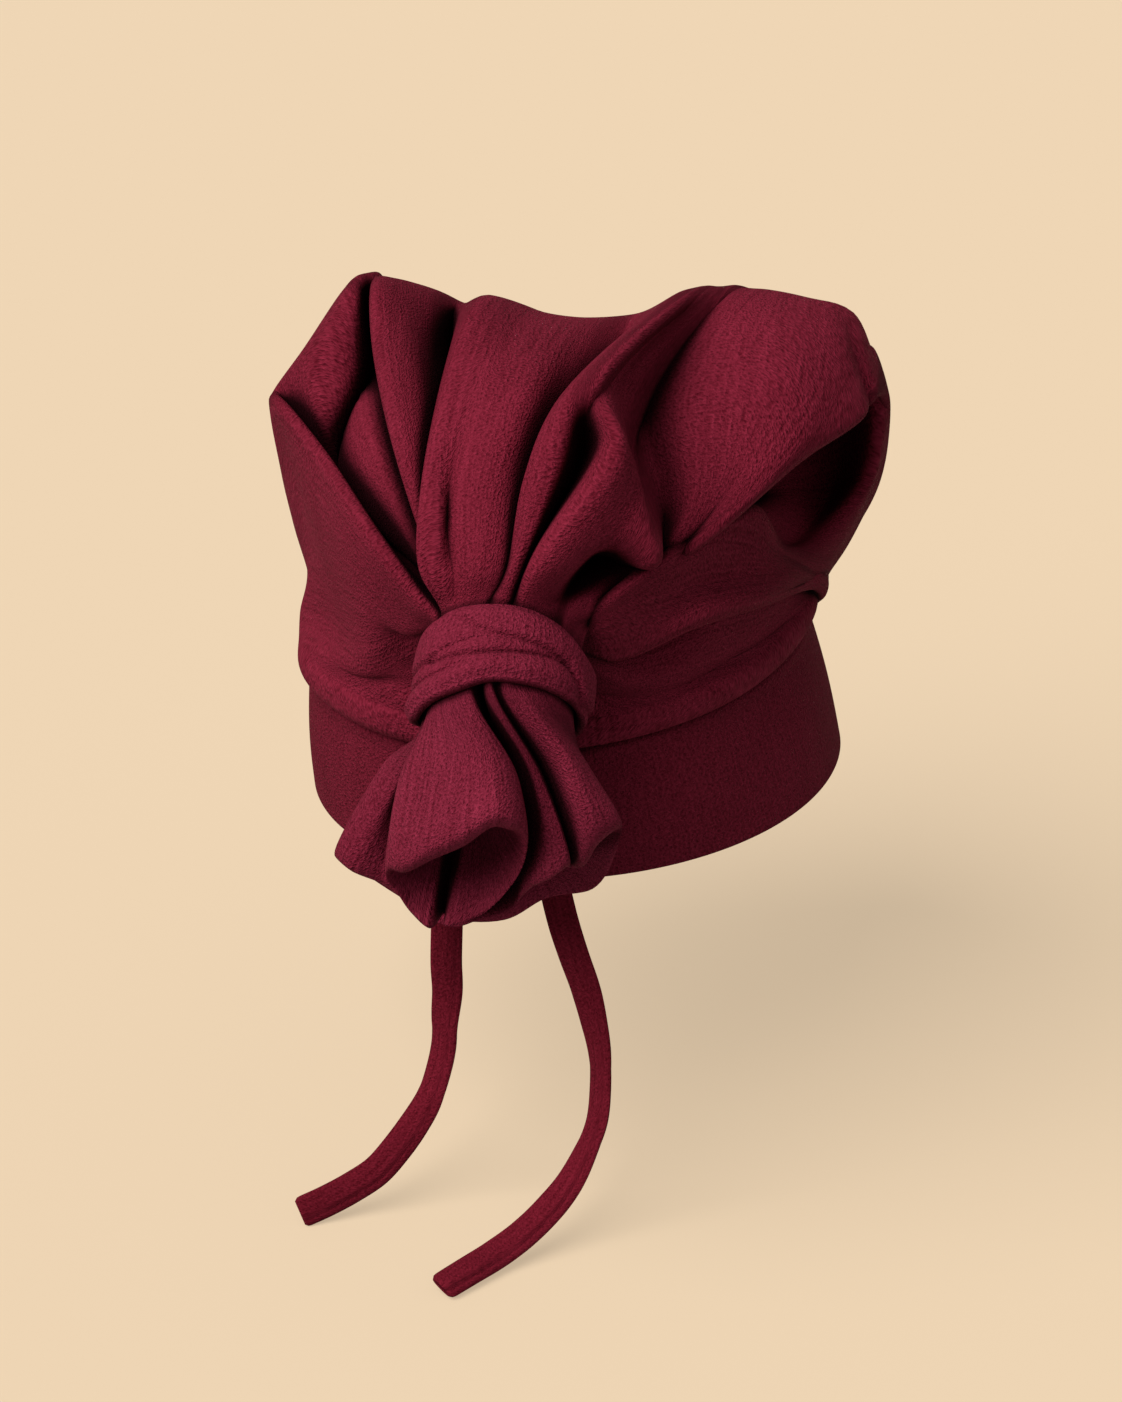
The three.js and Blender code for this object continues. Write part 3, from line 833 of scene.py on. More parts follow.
        # painted shade: the colour darkens with how deep the cloth lies in a fold
        depth = self._node(tree, "ShaderNodeAttribute", attribute_name=PAINTED_FOLD_SHADE)
        left = self._node(tree, "ShaderNodeMapRange", interpolation_type="SMOOTHSTEP")
        for name, value in (("From Min", shading.folds[0]), ("From Max", shading.folds[1]),
                            ("To Min", 1.0), ("To Max", shading.fold_shade_darkest)):
            left.inputs[name].default_value = value
        tree.links.new(depth.outputs["Fac"], left.inputs["Value"])
        shaded = self._node(tree, "ShaderNodeVectorMath", operation="SCALE")
        tree.links.new(ramp.outputs["Color"], shaded.inputs[0])
        tree.links.new(left.outputs["Result"], shaded.inputs["Scale"])
        return shaded.outputs["Vector"]


# each piece's copy of the one burgundy has its brightness set as painted light
BAND_FINISH = ClothFinish("band_cloth", PieceShade.BAND, slub=0.3)
CROWN_FINISH = ClothFinish("crown_cloth", PieceShade.CROWN)
WRAP_FINISH = ClothFinish("wrap_cloth", PieceShade.KNOT, slub=0.4)
FRONT_FINISH = ClothFinish("front_end_cloth", PieceShade.KNOT, slub=0.8)
BACK_FINISH = ClothFinish("back_end_cloth", PieceShade.KNOT)
TIE_FINISH = ClothFinish("tie_cloth", PieceShade.TIE, grain=0.0009, relief=0.0003)


# ---------- pieces ----------


class HatPart(ABC):
    """One sub-assembly of the hat, which builds its mesh, dresses it and fixes it to the frame."""

    name: str
    node: str
    slot: str
    finish: ClothFinish

    @abstractmethod
    def build(self) -> ClothMesh:
        """Makes the part's mesh in the frame's place and size."""

    def add(self) -> bpy.types.Object:
        """Builds the part, gives it its finish and puts it in its node's place.

        Returns:
            The part's object.
        """
        piece = self.build().to_object(self.name)
        piece.data.materials.append(self.finish.material())
        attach(piece, "root")
        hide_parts(self.node)
        LOG.info("%s: %d faces", self.name, len(piece.data.polygons))
        return piece


@dataclass(frozen=True)
class Ripple:
    """A row of soft waves round the band.

    Attributes:
        name: Which waves they are.
        depth: How far they stand out and in, in millimetres.
        count: How many go round.
        start: How far round the first one is moved, in degrees of a wave.
    """

    name: str
    depth: float
    count: int
    start: float = 0.0

    def out(self, degrees: np.ndarray) -> np.ndarray:
        """Gives how far the waves stand out at angles round the band, in millimetres."""
        return self.depth * np.sin(np.radians(degrees * self.count + self.start))


PUCKERS = Ripple("puckers", 0.16, 67)
RIPPLES = (Ripple("wide", 0.5, 5, 40), Ripple("close", 0.3, 11))


@dataclass
class Headband(HatPart):
    """The headband, turned over double at the rim and stitched under the crown's seam.

    Attributes:
        columns: How many columns of faces go round it.
        rows: How many rows go up its outer face.
        swell: How far it swells outwards half way up, as a share of its size.
        rim_turns: Degrees round the rolled rim at which it has a row.
        rim_flat: How flat the rolled rim is, as a share of a round one.
        edge: How far the stitched upper edge stands out, in millimetres.
        edge_rise: Shares of the height between which the edge rises.
        edge_fall: Shares of the height between which it falls again.
        edge_left: Share of it that is left at the top.
        puckers_at: Share of the height at which the stitches pucker the cloth.
        puckers_over: Share of the height over which they fade.
    """

    columns: int = 300
    rows: int = 26
    swell: float = 0.012
    rim_turns: tuple[float, ...] = (-60, -30, 0, 30, 60)
    rim_flat: float = 0.55
    edge: float = 0.75
    edge_rise: tuple[float, float] = (0.9, 0.925)
    edge_fall: tuple[float, float] = (0.975, 1.0)
    edge_left: float = 0.4
    puckers_at: float = 0.905
    puckers_over: float = 0.035
    name: str = "headband_cloth"
    node: str = "headband"
    slot: str = "band_cloth"
    finish: ClothFinish = BAND_FINISH

    def build(self) -> ClothMesh:
        """Makes the band's section at every column and closes it into a ring.

        Returns:
            The band's mesh.
        """
        degrees = np.linspace(0, 360, self.columns, endpoint=False)
        shares = np.linspace(0, 1, self.rows)
        outer = [self._ring(degrees, share, self._relief(degrees, share)) for share in shares]
        inner = [self._ring(degrees, share, -BAND_WALL) for share in shares[::-1]]
        rim = [self._rim_ring(degrees, turn) for turn in np.radians(self.rim_turns)]
        return ClothMesh.ring_of(np.array([*outer, *inner, *rim, outer[0]]))

    def _ring(self, degrees: np.ndarray, share: float, out: np.ndarray | float) -> np.ndarray:
        """Gives one ring of the band.

        Args:
            degrees: Angles from the front towards the wearer's left.
            share: How high the ring lies, as a share of the band's height.
            out: How far it is moved outwards, in metres.

        Returns:
            An array (angles, 3).
        """
        swell = self.swell * math.sin(math.pi * share)
        ring = RIM.points(degrees, swell) * (1 - share) + SEAM.points(degrees, swell) * share
        return ring + outwards(degrees) * np.broadcast_to(out, degrees.shape)[:, None]

    def _rim_ring(self, degrees: np.ndarray, turn: float) -> np.ndarray:
        """Gives one ring of the rolled rim.

        Args:
            degrees: Angles from the front towards the wearer's left.
            turn: How far the ring lies round the roll, in radians.

        Returns:
            An array (angles, 3).
        """
        radius = BAND_WALL / 2
        ring = self._ring(degrees, 0.0, -radius + radius * math.sin(turn))
        ring[:, 2] -= radius * self.rim_flat * math.cos(turn)
        return ring

    def _relief(self, degrees: np.ndarray, share: float) -> np.ndarray:
        """Gives how far the outer face stands out: the stitched edge and soft puckers.

        Args:
            degrees: Angles from the front towards the wearer's left.
            share: How high the place lies, as a share of the band's height.

        Returns:
            The distance at each angle, in metres.
        """
        fallen = (1 - self.edge_left) * smoothstep(share, *self.edge_fall)
        edge = self.edge * smoothstep(share, *self.edge_rise) * (1 - fallen)
        puckers = PUCKERS.out(degrees) * math.exp(-((share - self.puckers_at) / self.puckers_over) ** 2)
        ripples = sum(ripple.out(degrees) for ripple in RIPPLES) * math.sin(math.pi * share)
        return (edge + puckers + ripples) * MM


@dataclass(frozen=True)
class Fold:
    """One line of the crown's cloth, from the knot over the front to the crest and the seam.

    Attributes:
        name: Which fold it lies on.
        turn: Where it leaves the knot, in degrees round the knot's axis.
        tuck: How far from the axis it leaves, in millimetres.
        near: Its place just outside the knot.
        mid: Its place half way over the front.
        far: Its place near the crest.
        crest: Where it turns over to the back.
        seam: Where it meets the seam, in degrees from the front towards the wearer's left.
        lift: How far the line is raised behind its crest, in millimetres.
        fullness: How far the cloth stands out behind the crest, as a share of the usual.
    """

    name: str
    turn: float
    tuck: float
    near: Place
    mid: Place
    far: Place
    crest: Place
    seam: float
    lift: float = 0.0
    fullness: float = 1.0


CROWN_FOLDS = (
    Fold("front_low", -90, 20, (9, -88, 65), (7, -89, 60), (5, -90, 55), (3, -91, 50), 2),
    Fold("right_under", -128, 21, (-15, -88, 66), (-21, -89, 61), (-27, -90, 56), (-32, -88, 51), -25),
    Fold("right_front", -145, 21.5, (-21, -90, 70), (-33, -88, 64), (-46, -80, 58), (-56, -73, 52), -45),
    Fold("right_low", -160, 22, (-26, -92, 74), (-45, -84, 63), (-64, -62, 57), (-75, -49, 52), -62),
    Fold("right_side", -178, 22, (-26, -97, 84), (-43, -88, 74), (-68, -46, 63), (-86, -18, 54), -84, 0, 0.2),
    Fold("swoop_low", 168, 23, (-28, -100, 83), (-42, -92, 87), (-65, -52, 79), (-79, -24, 74), -94, 0, 0.3),
    Fold("swoop", 161, 23.5, (-24, -106, 91), (-39, -98, 104), (-66, -56, 105), (-82, -26, 109), -103,
         0, 0.5),
    Fold("lip", 155, 24, (-20, -112, 99), (-35, -102, 113), (-64, -58, 124), (-85, -30, 130), -111, 0, 0.7),
    Fold("swoop_tuck", 155, 20.3, (-22, -100, 97), (-54, -46, 91), (-79, -18, 108), (-90, -12, 127), -118),
    Fold("side_face", 154, 16.7, (-22, -98, 98), (-63, -42, 111), (-72, -28, 131), (-78, -13, 142), -127),
    Fold("side_edge", 152, 13.1, (-23, -94, 98), (-65, -34, 107), (-60, -22, 139), (-63, -12, 161), -137),
    Fold("side_valley", 146, 9.6, (-23, -88, 98), (-66, -16, 103), (-65, 3, 131), (-63, -4, 162), -142),
    Fold("inner_edge", 141, 12.2, (-20, -98, 101), (-59, -48, 114), (-66, 1, 127), (-62, 2, 161), -145),
    Fold("inner_face", 130, 11, (-17, -104, 104), (-49, -50, 132), (-62, 4, 135), (-60, 4, 161), -148),
    Fold("inner_tuck", 119, 11.4, (-17, -97, 104), (-39, -52, 127), (-56, -2, 141), (-58, 0, 161), -151),
    Fold("pleat_edge", 135, 15.2, (-15, -105, 107), (-29, -88, 136), (-44, -50, 157), (-51, -22, 167), -155),
    Fold("pleat_face", 131, 16.3, (-13, -104, 110), (-27, -78, 142), (-39, -40, 158), (-46, -14, 164), -159),
    Fold("pleat_side", 124, 16, (-11, -101, 111), (-25, -64, 140), (-35, -32, 151), (-39, -8, 159), -163),
    Fold("hollow", 110, 17.5, (-8, -96, 106), (-24, -26, 119), (-35, 6, 136), (-34, 4, 151), -167),
    Fold("panel_edge", 139, 24, (-16, -118, 110), (-17, -108, 126), (-17, -72, 151), (-17, -30, 163), -171),
    Fold("panel_fold", 134, 24, (-12, -118, 109), (-14, -108, 124), (-13, -73, 152), (-14, -28, 162), -173),
    Fold("panel_crease", 127, 23.3, (-8, -117, 109), (-11, -105, 124), (-8, -74, 152), (-10, -26, 160), -175),
    Fold("panel_side", 117, 24, (-3, -120, 112), (-6, -107, 128), (-3, -75, 152), (-5, -24, 157), -177),
    Fold("panel_mid", 105, 24, (3, -122, 113), (3, -106, 131), (8, -75, 151), (6, -20, 154), -180),
    Fold("panel_end", 98, 24, (8, -120, 112), (10, -97, 131), (14, -60, 148), (16, -8, 151), 175),
    Fold("panel_under", 94, 20, (7, -101, 105), (17, -60, 121), (24, -34, 140), (25, 4, 149), 171),
    Fold("ridge_edge", 90, 24, (11, -120, 112), (15, -110, 135), (21, -92, 152), (45, -30, 166), 167),
    Fold("ridge_face", 84, 24, (14, -121, 115), (23, -112, 140), (26, -97, 156), (47, -26, 166), 164),
    Fold("ridge_valley", 78, 20.5, (18, -104, 116), (24, -84, 131), (31, -96, 157), (50, -23, 166), 161),
    Fold("spur", 71, 24, (21, -126, 117), (42, -113, 146), (34, -90, 156), (52, -20, 165), 158),
    Fold("spur_side", 60, 24, (30, -122, 117), (45, -111, 131), (36, -80, 150), (54, -17, 164), 156),
    Fold("nose", 45, 24, (29, -90, 105), (52, -114, 114), (38, -74, 136), (57, -14, 163), 154),
    Fold("face_valley", 36, 24, (34, -105, 102), (49, -92, 111), (40, -57, 143), (59, -12, 162), 151),
    Fold("face_side", 28, 24, (37, -106, 98), (58, -89, 118), (57, -60, 147), (67, -13, 162), 148),
    Fold("face_mid", 21, 24, (38, -99, 95), (65, -86, 119), (79, -58, 149), (80, -8, 159), 144),
    Fold("face_corner", 15, 24, (37, -94, 94), (64, -90, 115), (90, -63, 138), (94, -4, 154), 138),
    Fold("flap_edge", 9, 24, (36, -86, 94), (61, -92, 111), (89, -66, 131), (103, -38, 135), 133, 14),
    Fold("flap_under", 5, 21, (38, -80, 91), (57, -46, 101), (85, -20, 123), (102, -20, 133), 128, 8),
    Fold("pocket_floor", 2, 18, (40, -80, 90), (61, -6, 99), (87, 22, 109), (102, 8, 123), 122, 3),
    Fold("pocket_wall", -3, 17.5, (43, -82, 89), (65, -4, 94), (86, 18, 89), (99, 8, 99), 117),
    Fold("pocket_heel", -5, 18.5, (41, -86, 89), (66, -34, 99), (77, -14, 81), (91, 4, 83), 113),
    Fold("shelf_ridge", -8, 20, (40, -110, 102), (70, -70, 112), (77, -47, 91), (83, -6, 70), 109),
    Fold("shelf_face", -10, 20.5, (39, -109, 97), (59, -81, 94), (78, -48, 85), (82, -12, 70), 106),
    Fold("shelf_edge", -16, 22, (36, -98, 77), (57, -89, 85), (73, -60, 81), (81, -18, 71), 102),
    Fold("shelf_lip", -18, 21.8, (36, -95, 75), (57, -85, 82), (73, -56, 78), (81, -15, 68), 100),
    Fold("shelf_tuck", -22, 21, (33, -86, 76), (56, -66, 79), (71, -36, 75), (77, 0, 62), 98),
    Fold("left_low", -34, 21.5, (36, -86, 64), (53, -71, 64), (67, -41, 60), (78, -2, 57), 92),
    Fold("left_front", -48, 21, (31, -86, 61), (44, -77, 57), (59, -58, 57), (69, -40, 54), 70),
    Fold("left_under", -62, 20.5, (25, -87, 61), (35, -82, 58), (45, -76, 54), (54, -70, 52), 48),
)

CROWN_CREASES = (
    Crease("flap_edge", ((93, -5, 158), (98, -15, 155), (101, -24, 150), (103, -27, 144), (104, -30, 138),
                         (105, -34, 133)), width=6.0, depth=6.0, way=(-0.6, 0.8, -0.1)),
    Crease("panel_root", ((-14, -103, 131), (-14, -108, 125), (-13, -113, 120), (-12, -117, 113),
                          (-9, -119, 106), (-6, -120, 100)), width=3.2, depth=4.0),
)


@dataclass(frozen=True)
class BackRow:
    """How the crown's lines run at one height behind their crests.

    Attributes:
        name: Which height it is.
        down: How far down it lies towards the seam, as a share.
        out: How far the cloth stands out, as a share of the drop from crest to seam.
        up: How far it is raised, as a share of the drop.
        lift: Share of a line's own lift that it takes.
    """

    name: str
    down: float
    out: float
    up: float
    lift: float


BACK_ROWS = (
    BackRow("high", down=0.3, out=0.2, up=0.1, lift=1.0),
    BackRow("low", down=0.72, out=0.27, up=0.06, lift=0.0),
)


@dataclass
class Crown(HatPart):
    """The crown: one cloth that leaves the wrap in folds and turns over to the seam.

    Attributes:
        steps: Rows of faces between one named place of a line and the next.
        spacing: How far apart two columns may run, in metres.
        throat_end: Where the gathered cloth stops inside the wrap, along the knot.
        throat_mouth: Where it leaves the wrap.
        throat_share: How wide the gather is at its end, as a share of its width at its mouth.
        calmed_drop: Heights over the seam, in metres, between which the back is evened out.
        tuck_in: How far the cloth's lower end lies inside the band's edge, in metres.
        tuck_from: Share of the lowest rows from which on it is tucked in.
        evenings: How often the crests are evened out for the back.
    """

    steps: tuple[int, ...] = (3, 9, 12, 12, 12, 12, 10, 8)
    spacing: float = 2.8 * MM
    throat_end: float = -1.0
    throat_mouth: float = 12.0
    throat_share: float = 0.97
    calmed_drop: tuple[float, float] = (15 * MM, 60 * MM)
    tuck_in: float = 0.9 * MM
    tuck_from: float = 0.8
    evenings: int = 2
    name: str = "crown_draped"
    node: str = "crown"
    slot: str = "crown_cloth"
    finish: ClothFinish = CROWN_FINISH

    def build(self) -> ClothMesh:
        """Makes the outer face of the cloth, then its inner one, and joins them at the seam.

        Returns:
            The crown's mesh.
        """
        rings = self._rings()
        flat, facing = rings.reshape(-1, 3), -grid_normals(rings).reshape(-1, 3)
        for crease in CROWN_CREASES:
            flat = crease.press(flat, facing)
        rings = flat.reshape(rings.shape)
        mesh = ClothMesh()
        outside = mesh.add_points(rings)
        across, along = weave_places(rings)
        mesh.add_grid(outside, across, along)
        inwards = self._inwards(rings)
        depths = cloth_depths(rings.reshape(-1, 3), inwards.reshape(-1, 3), mesh.faces)
        inner = rings + inwards * depths.reshape(rings.shape[:-1])[..., None]
        inside = mesh.add_points(inner)
        mesh.add_grid(inside, across, along, flip=True)
        mesh.add_grid(np.stack([outside[-1], inside[-1]]), across, along[-2:])
        mesh.add_fan(outside[0], rings[0].mean(axis=0), flip=True)
        mesh.add_fan(inside[0], inner[0].mean(axis=0))
        return mesh

    def _rings(self) -> np.ndarray:
        """Gives the rings of the cloth's outer face.

        Returns:
            An array (rings, columns, 3), from the throat to the seam.
        """
        crests = self._calmed_crests()
        lines = np.stack([self._line(fold, crest) for fold, crest in zip(CROWN_FOLDS, crests)], axis=1)
        rows = smooth_through(lines, self.steps)
        gaps = np.linalg.norm(np.roll(lines, -1, axis=1) - lines, axis=-1).max(axis=0)
        strips = [max(2, math.ceil(gap / self.spacing)) for gap in gaps]
        rings = smooth_through(rows.transpose(1, 0, 2), strips, closed=True).transpose(1, 0, 2)
        return self._settled(rings, strips)

    def _line(self, fold: Fold, calmed_crest: np.ndarray) -> np.ndarray:
        """Gives the places that one line of the cloth runs through, from throat to seam.

        Args:
            fold: The line.
            calmed_crest: Its crest, evened out with its neighbours' for the back.

        Returns:
            An array of places, a row each.
        """
        angle = np.array([fold.seam])
        seam, away, up = SEAM.points(angle)[0], outwards(angle)[0], np.array([0, 0, 1.0])
        crest = places([fold.crest])[0]
        drop = max(crest[2] - seam[2], 0.0)
        brow = crest + (calmed_crest - crest) * smoothstep(drop, *self.calmed_drop)
        backs = [
            brow + (seam - brow) * row.down + away * row.out * fold.fullness * drop
            + up * (row.up * drop + row.lift * fold.lift * MM)
            for row in BACK_ROWS
        ]
        throat = knot_points(fold.turn, np.array([self.throat_share, 1.0]) * fold.tuck * WRAP_DRAW,
                             np.array([self.throat_end, self.throat_mouth]))
        return np.array([*throat, *places([fold.near, fold.mid, fold.far]), crest, *backs, seam])

    def _calmed_crests(self) -> np.ndarray:
        """Gives the crests, each drawn half way to its neighbours, more than once.

        Returns:
            An array of places, one for each fold.
        """
        crests = places([fold.crest for fold in CROWN_FOLDS])
        for _ in range(self.evenings):
            crests = (2 * crests + np.roll(crests, 1, axis=0) + np.roll(crests, -1, axis=0)) / 4
        return crests

    def _settled(self, rings: np.ndarray, strips: Sequence[int]) -> np.ndarray:
        """Moves the lowest rows so that the cloth ends on the seam, inside the band's edge.

        Args:
            rings: The cloth's rings, which are changed.
            strips: How many columns lie between each line and the next.

        Returns:
            The changed rings.
        """
        angles: list[float] = []
        for i, (fold, count) in enumerate(zip(CROWN_FOLDS, strips)):
            turn = (CROWN_FOLDS[(i + 1) % len(CROWN_FOLDS)].seam - fold.seam + 180) % 360 - 180
            angles += [fold.seam + turn * step / count for step in range(count)]
        target = SEAM.points(np.array(angles))
        shift = target - rings[-1]
        rows = self.steps[-1] + self.steps[-2]
        shares = smoothstep(np.arange(1, rows + 1), 0, rows)
        rings[-rows:] += shares[:, None, None] * shift
        tucked = smoothstep(np.arange(1, rows + 1), rows * self.tuck_from, rows)
        rings[-rows:] -= tucked[:, None, None] * outwards(np.array(angles)) * self.tuck_in
        return rings

    def _inwards(self, rings: np.ndarray) -> np.ndarray:
        """Gives the directions into the cloth, level at the seam and along the knot inside it.

        Args:
            rings: The cloth's rings.

        Returns:
            Unit directions of the same shape.
        """
        inwards = grid_normals(rings)
        lean = math.radians(KNOT_LEAN)
        inwards[0] = (0, math.sin(lean), math.cos(lean))
        inwards[-1, :, 2] = 0
        inwards[-1] /= np.linalg.norm(inwards[-1], axis=-1, keepdims=True)
        return inwards


@dataclass(frozen=True)
class WrapCrease:
    """A crease between two turns of the wrap's cloth.

    Attributes:
        name: Which crease it is.
        stops: Rows of degrees round the knot, place along it and depth there, in millimetres.
    """

    name: str
    stops: tuple[tuple[float, float, float], ...]

    def at(self, turns: np.ndarray) -> tuple[np.ndarray, np.ndarray]:
        """Gives the crease's course, evened out.

        Args:
            turns: Degrees round the knot.

        Returns:
            Its place along the knot and its depth at each turn, in millimetres.
        """
        angles = np.array([turn for turn, _, _ in self.stops])
        wrapped = np.concatenate([angles - 360, angles, angles + 360])
        near = np.asarray(turns, float)[..., None] + np.array(CREASE_EVENING)
        along, depth = (np.tile([stop[column] for stop in self.stops], 3) for column in (1, 2))
        return np.interp(near, wrapped, along).mean(axis=-1), np.interp(near, wrapped, depth).mean(axis=-1)


WRAP_TOP = WrapCrease("top", (
    (11, 4, 0), (35, 7.2, 0), (52, 8.7, 0), (69, 10, 0), (98, 9.7, 0), (113, 9.6, 0), (136, 9, 0),
    (150, 8, 0), (200, 7, 0), (270, 8, 0), (340, 4, 0),
))
WRAP_LOW = WrapCrease("low", (
    (19, -12.6, 0), (49, -13.2, 0), (67, -13.8, 0), (83, -14.3, 0), (91, -15, 0), (102, -17, 0),
    (118, -18.4, 0), (138, -19.3, 0), (156, -21, 0), (180, -18, 0), (205, -14, 0), (270, -13, 0),
    (340, -12.5, 0),
))
WRAP_CREASES = (
    WrapCrease("upper", ((12, -12, 2.4), (20, -8.2, 2.6), (26, -4.4, 2.6), (36, -2.6, 2.6), (63, -1.1, 2.4),
                         (76, -0.8, 2.2), (90, 0, 2.0), (101, 2.4, 1.8), (113, 6.5, 1.2), (130, 9.4, 0.2),
                         (200, 4, 1.5), (290, -3, 2.0))),
    WrapCrease("band", ((20, -1, 0), (80, -0.8, 0), (98, -2, 1.1), (112, -3.4, 1.5), (124, -4.8, 1.5),
                        (136, -6.5, 1.3), (150, -9, 0.8), (190, -10, 0), (300, -6, 0))),
    WrapCrease("middle", ((20, -5, 0), (36, -2.8, 1.2), (53, -4, 2.2), (70, -5.2, 2.4), (85, -6.1, 2.4),
                          (102, -7, 2.4), (121, -7.3, 2.2), (147, -6.1, 2.0), (180, -5, 1.8),
                          (270, -5, 1.5))),
    WrapCrease("lower", ((95, -8, 0), (108, -9.5, 1.2), (113, -10.6, 1.6), (125, -11.9, 2.0),
                         (143, -11.7, 2.0), (180, -10, 1.8), (250, -9, 1.2), (340, -8, 0))),
)


@dataclass
class KnotWrap(HatPart):
    """The cloth wound round the knot, in turns with creases between them.

    Attributes:
        columns: How many columns of faces go round it.
        rows: How many rows go along its outer face.
        taper: How much further the lower edge stands out than the upper, in millimetres.
        swell: How far the cloth swells between its edges, in millimetres.
        roll: How wide its rolled edges are, in millimetres.
        lip: How quickly a turn's lower lip rolls under at a crease, in millimetres.
        under: How slowly the next turn rises below it, in millimetres.
        inset: How much less than the stated radius the cloth has, in millimetres.
        outset: How far beyond its edges the cloth starts to roll, in millimetres.
        least_wall: How thin the cloth gets under a crease, in millimetres.
        flare: How much the hole widens at its two edges, in millimetres.
        overhang: How far those edges lie beyond the outer face's, in millimetres.
        inner_rows: Where the hole's other rows lie, from -1 at its lower edge to 1.
    """

    columns: int = 300
    rows: int = 110
    taper: float = 1.4
    swell: float = 2.2
    roll: float = 3.6
    lip: float = 0.7
    under: float = 2.6
    inset: float = 0.6
    outset: float = 0.4
    least_wall: float = 0.8
    flare: float = 0.6
    overhang: float = 0.3
    inner_rows: tuple[float, ...] = (-0.9, 0.0, 0.9)
    name: str = "knot_wrap_wound"
    node: str = "knot_wrap"
    slot: str = "wrap_cloth"
    finish: ClothFinish = WRAP_FINISH

    def build(self) -> ClothMesh:
        """Makes the wrap's outer and inner rings and closes them into one body.

        Returns:
            The wrap's mesh.
        """
        turns = np.linspace(0, 360, self.columns, endpoint=False)
        top, low = WRAP_TOP.at(turns)[0], WRAP_LOW.at(turns)[0]
        share = np.linspace(0, 1, self.rows)[:, None]
        along = top + (low - top) * share
        edge = np.minimum(along - low, top - along)
        swell = self.swell * smoothstep(edge, -self.outset, self.roll)
        radius = WRAP_OUTER - self.inset + self.taper * share + swell
        for crease in WRAP_CREASES:
            place, depth = crease.at(turns)
            over = along - place
            radius = radius - depth * np.where(over > 0, np.exp(-over / self.lip), np.exp(over / self.under))
        outer = knot_points(turns, np.maximum(radius, WRAP_INNER + self.least_wall), along)
        middle, half = (top + low) / 2, (top - low) / 2
        edges = [
            knot_points(turns, WRAP_INNER + self.flare, low - self.overhang),
            *(knot_points(turns, WRAP_INNER, middle + half * row) for row in self.inner_rows),
            knot_points(turns, WRAP_INNER + self.flare, top + self.overhang),
        ]
        return ClothMesh.ring_of(np.concatenate([outer, np.array(edges), outer[:1]]))


@dataclass(frozen=True)
class Roll:
    """One line of a cloth end, from inside the wrap over its lip into its hollow.

    Attributes:
        name: Which fold it lies on.
        turn: Where it leaves the wrap, in degrees round the knot's axis.
        tuck: How far from the axis it leaves, in millimetres.
        mid: Its place half way down.
        lip: Where it turns over at the end.
        mouth: Its place just inside the hollow.
    """

    name: str
    turn: float
    tuck: float
    mid: Place
    lip: Place
    mouth: Place


FRONT_FLOOR = (1, -143, 57)  # the deepest place of the front end's hollow
FRONT_ROLLS = (
    Roll("edge", 150, 23.5, (-20, -146, 56), (-22, -158, 32), (-21, -150, 29)),
    Roll("top_a", 140, 24, (-11, -152, 64), (-15, -164, 36), (-17, -154, 30)),
    Roll("top_b", 128, 24, (-3, -156, 68), (-6, -168, 43), (-8, -157, 36)),
    Roll("top_c", 118, 24, (4, -158, 70), (5, -171, 50), (2, -159, 42)),
    Roll("top_d", 108, 24, (11, -158, 69), (14, -171, 56), (10, -159, 48)),
    Roll("curl", 100, 23.5, (16, -154, 64), (19, -168, 54), (13, -156, 46)),
    Roll("curl_side", 98, 20, (16, -146, 54), (21, -163, 48), (13, -150, 43)),
    Roll("roll_side", 98, 16.5, (13, -138, 43), (19, -157, 37), (11, -144, 38)),
    Roll("roll_mid", 103, 13, (6, -132, 35), (13, -152, 25), (6, -140, 32)),
    Roll("roll_low", 113, 10.5, (-2, -128, 30), (2, -149, 13), (0, -137, 29)),
    Roll("fold_tip", 122, 11, (-8, -126, 27), (-8, -151, 10), (-5, -138, 28)),
    Roll("crease", 127, 11.2, (-10, -126, 27), (-11, -141, 9), (-10, -131, 26)),
    Roll("tip", 133, 12, (-13, -127, 28), (-13, -151, 9), (-11, -138, 28)),
    Roll("tip_under", 142, 13, (-16, -129, 30), (-19, -149, 13), (-15, -141, 28)),
    Roll("under", 149, 17, (-20, -133, 36), (-22, -151, 20), (-18, -143, 28)),
    Roll("edge_low", 152, 20.5, (-22, -139, 45), (-24, -154, 26), (-20, -146, 30)),
)

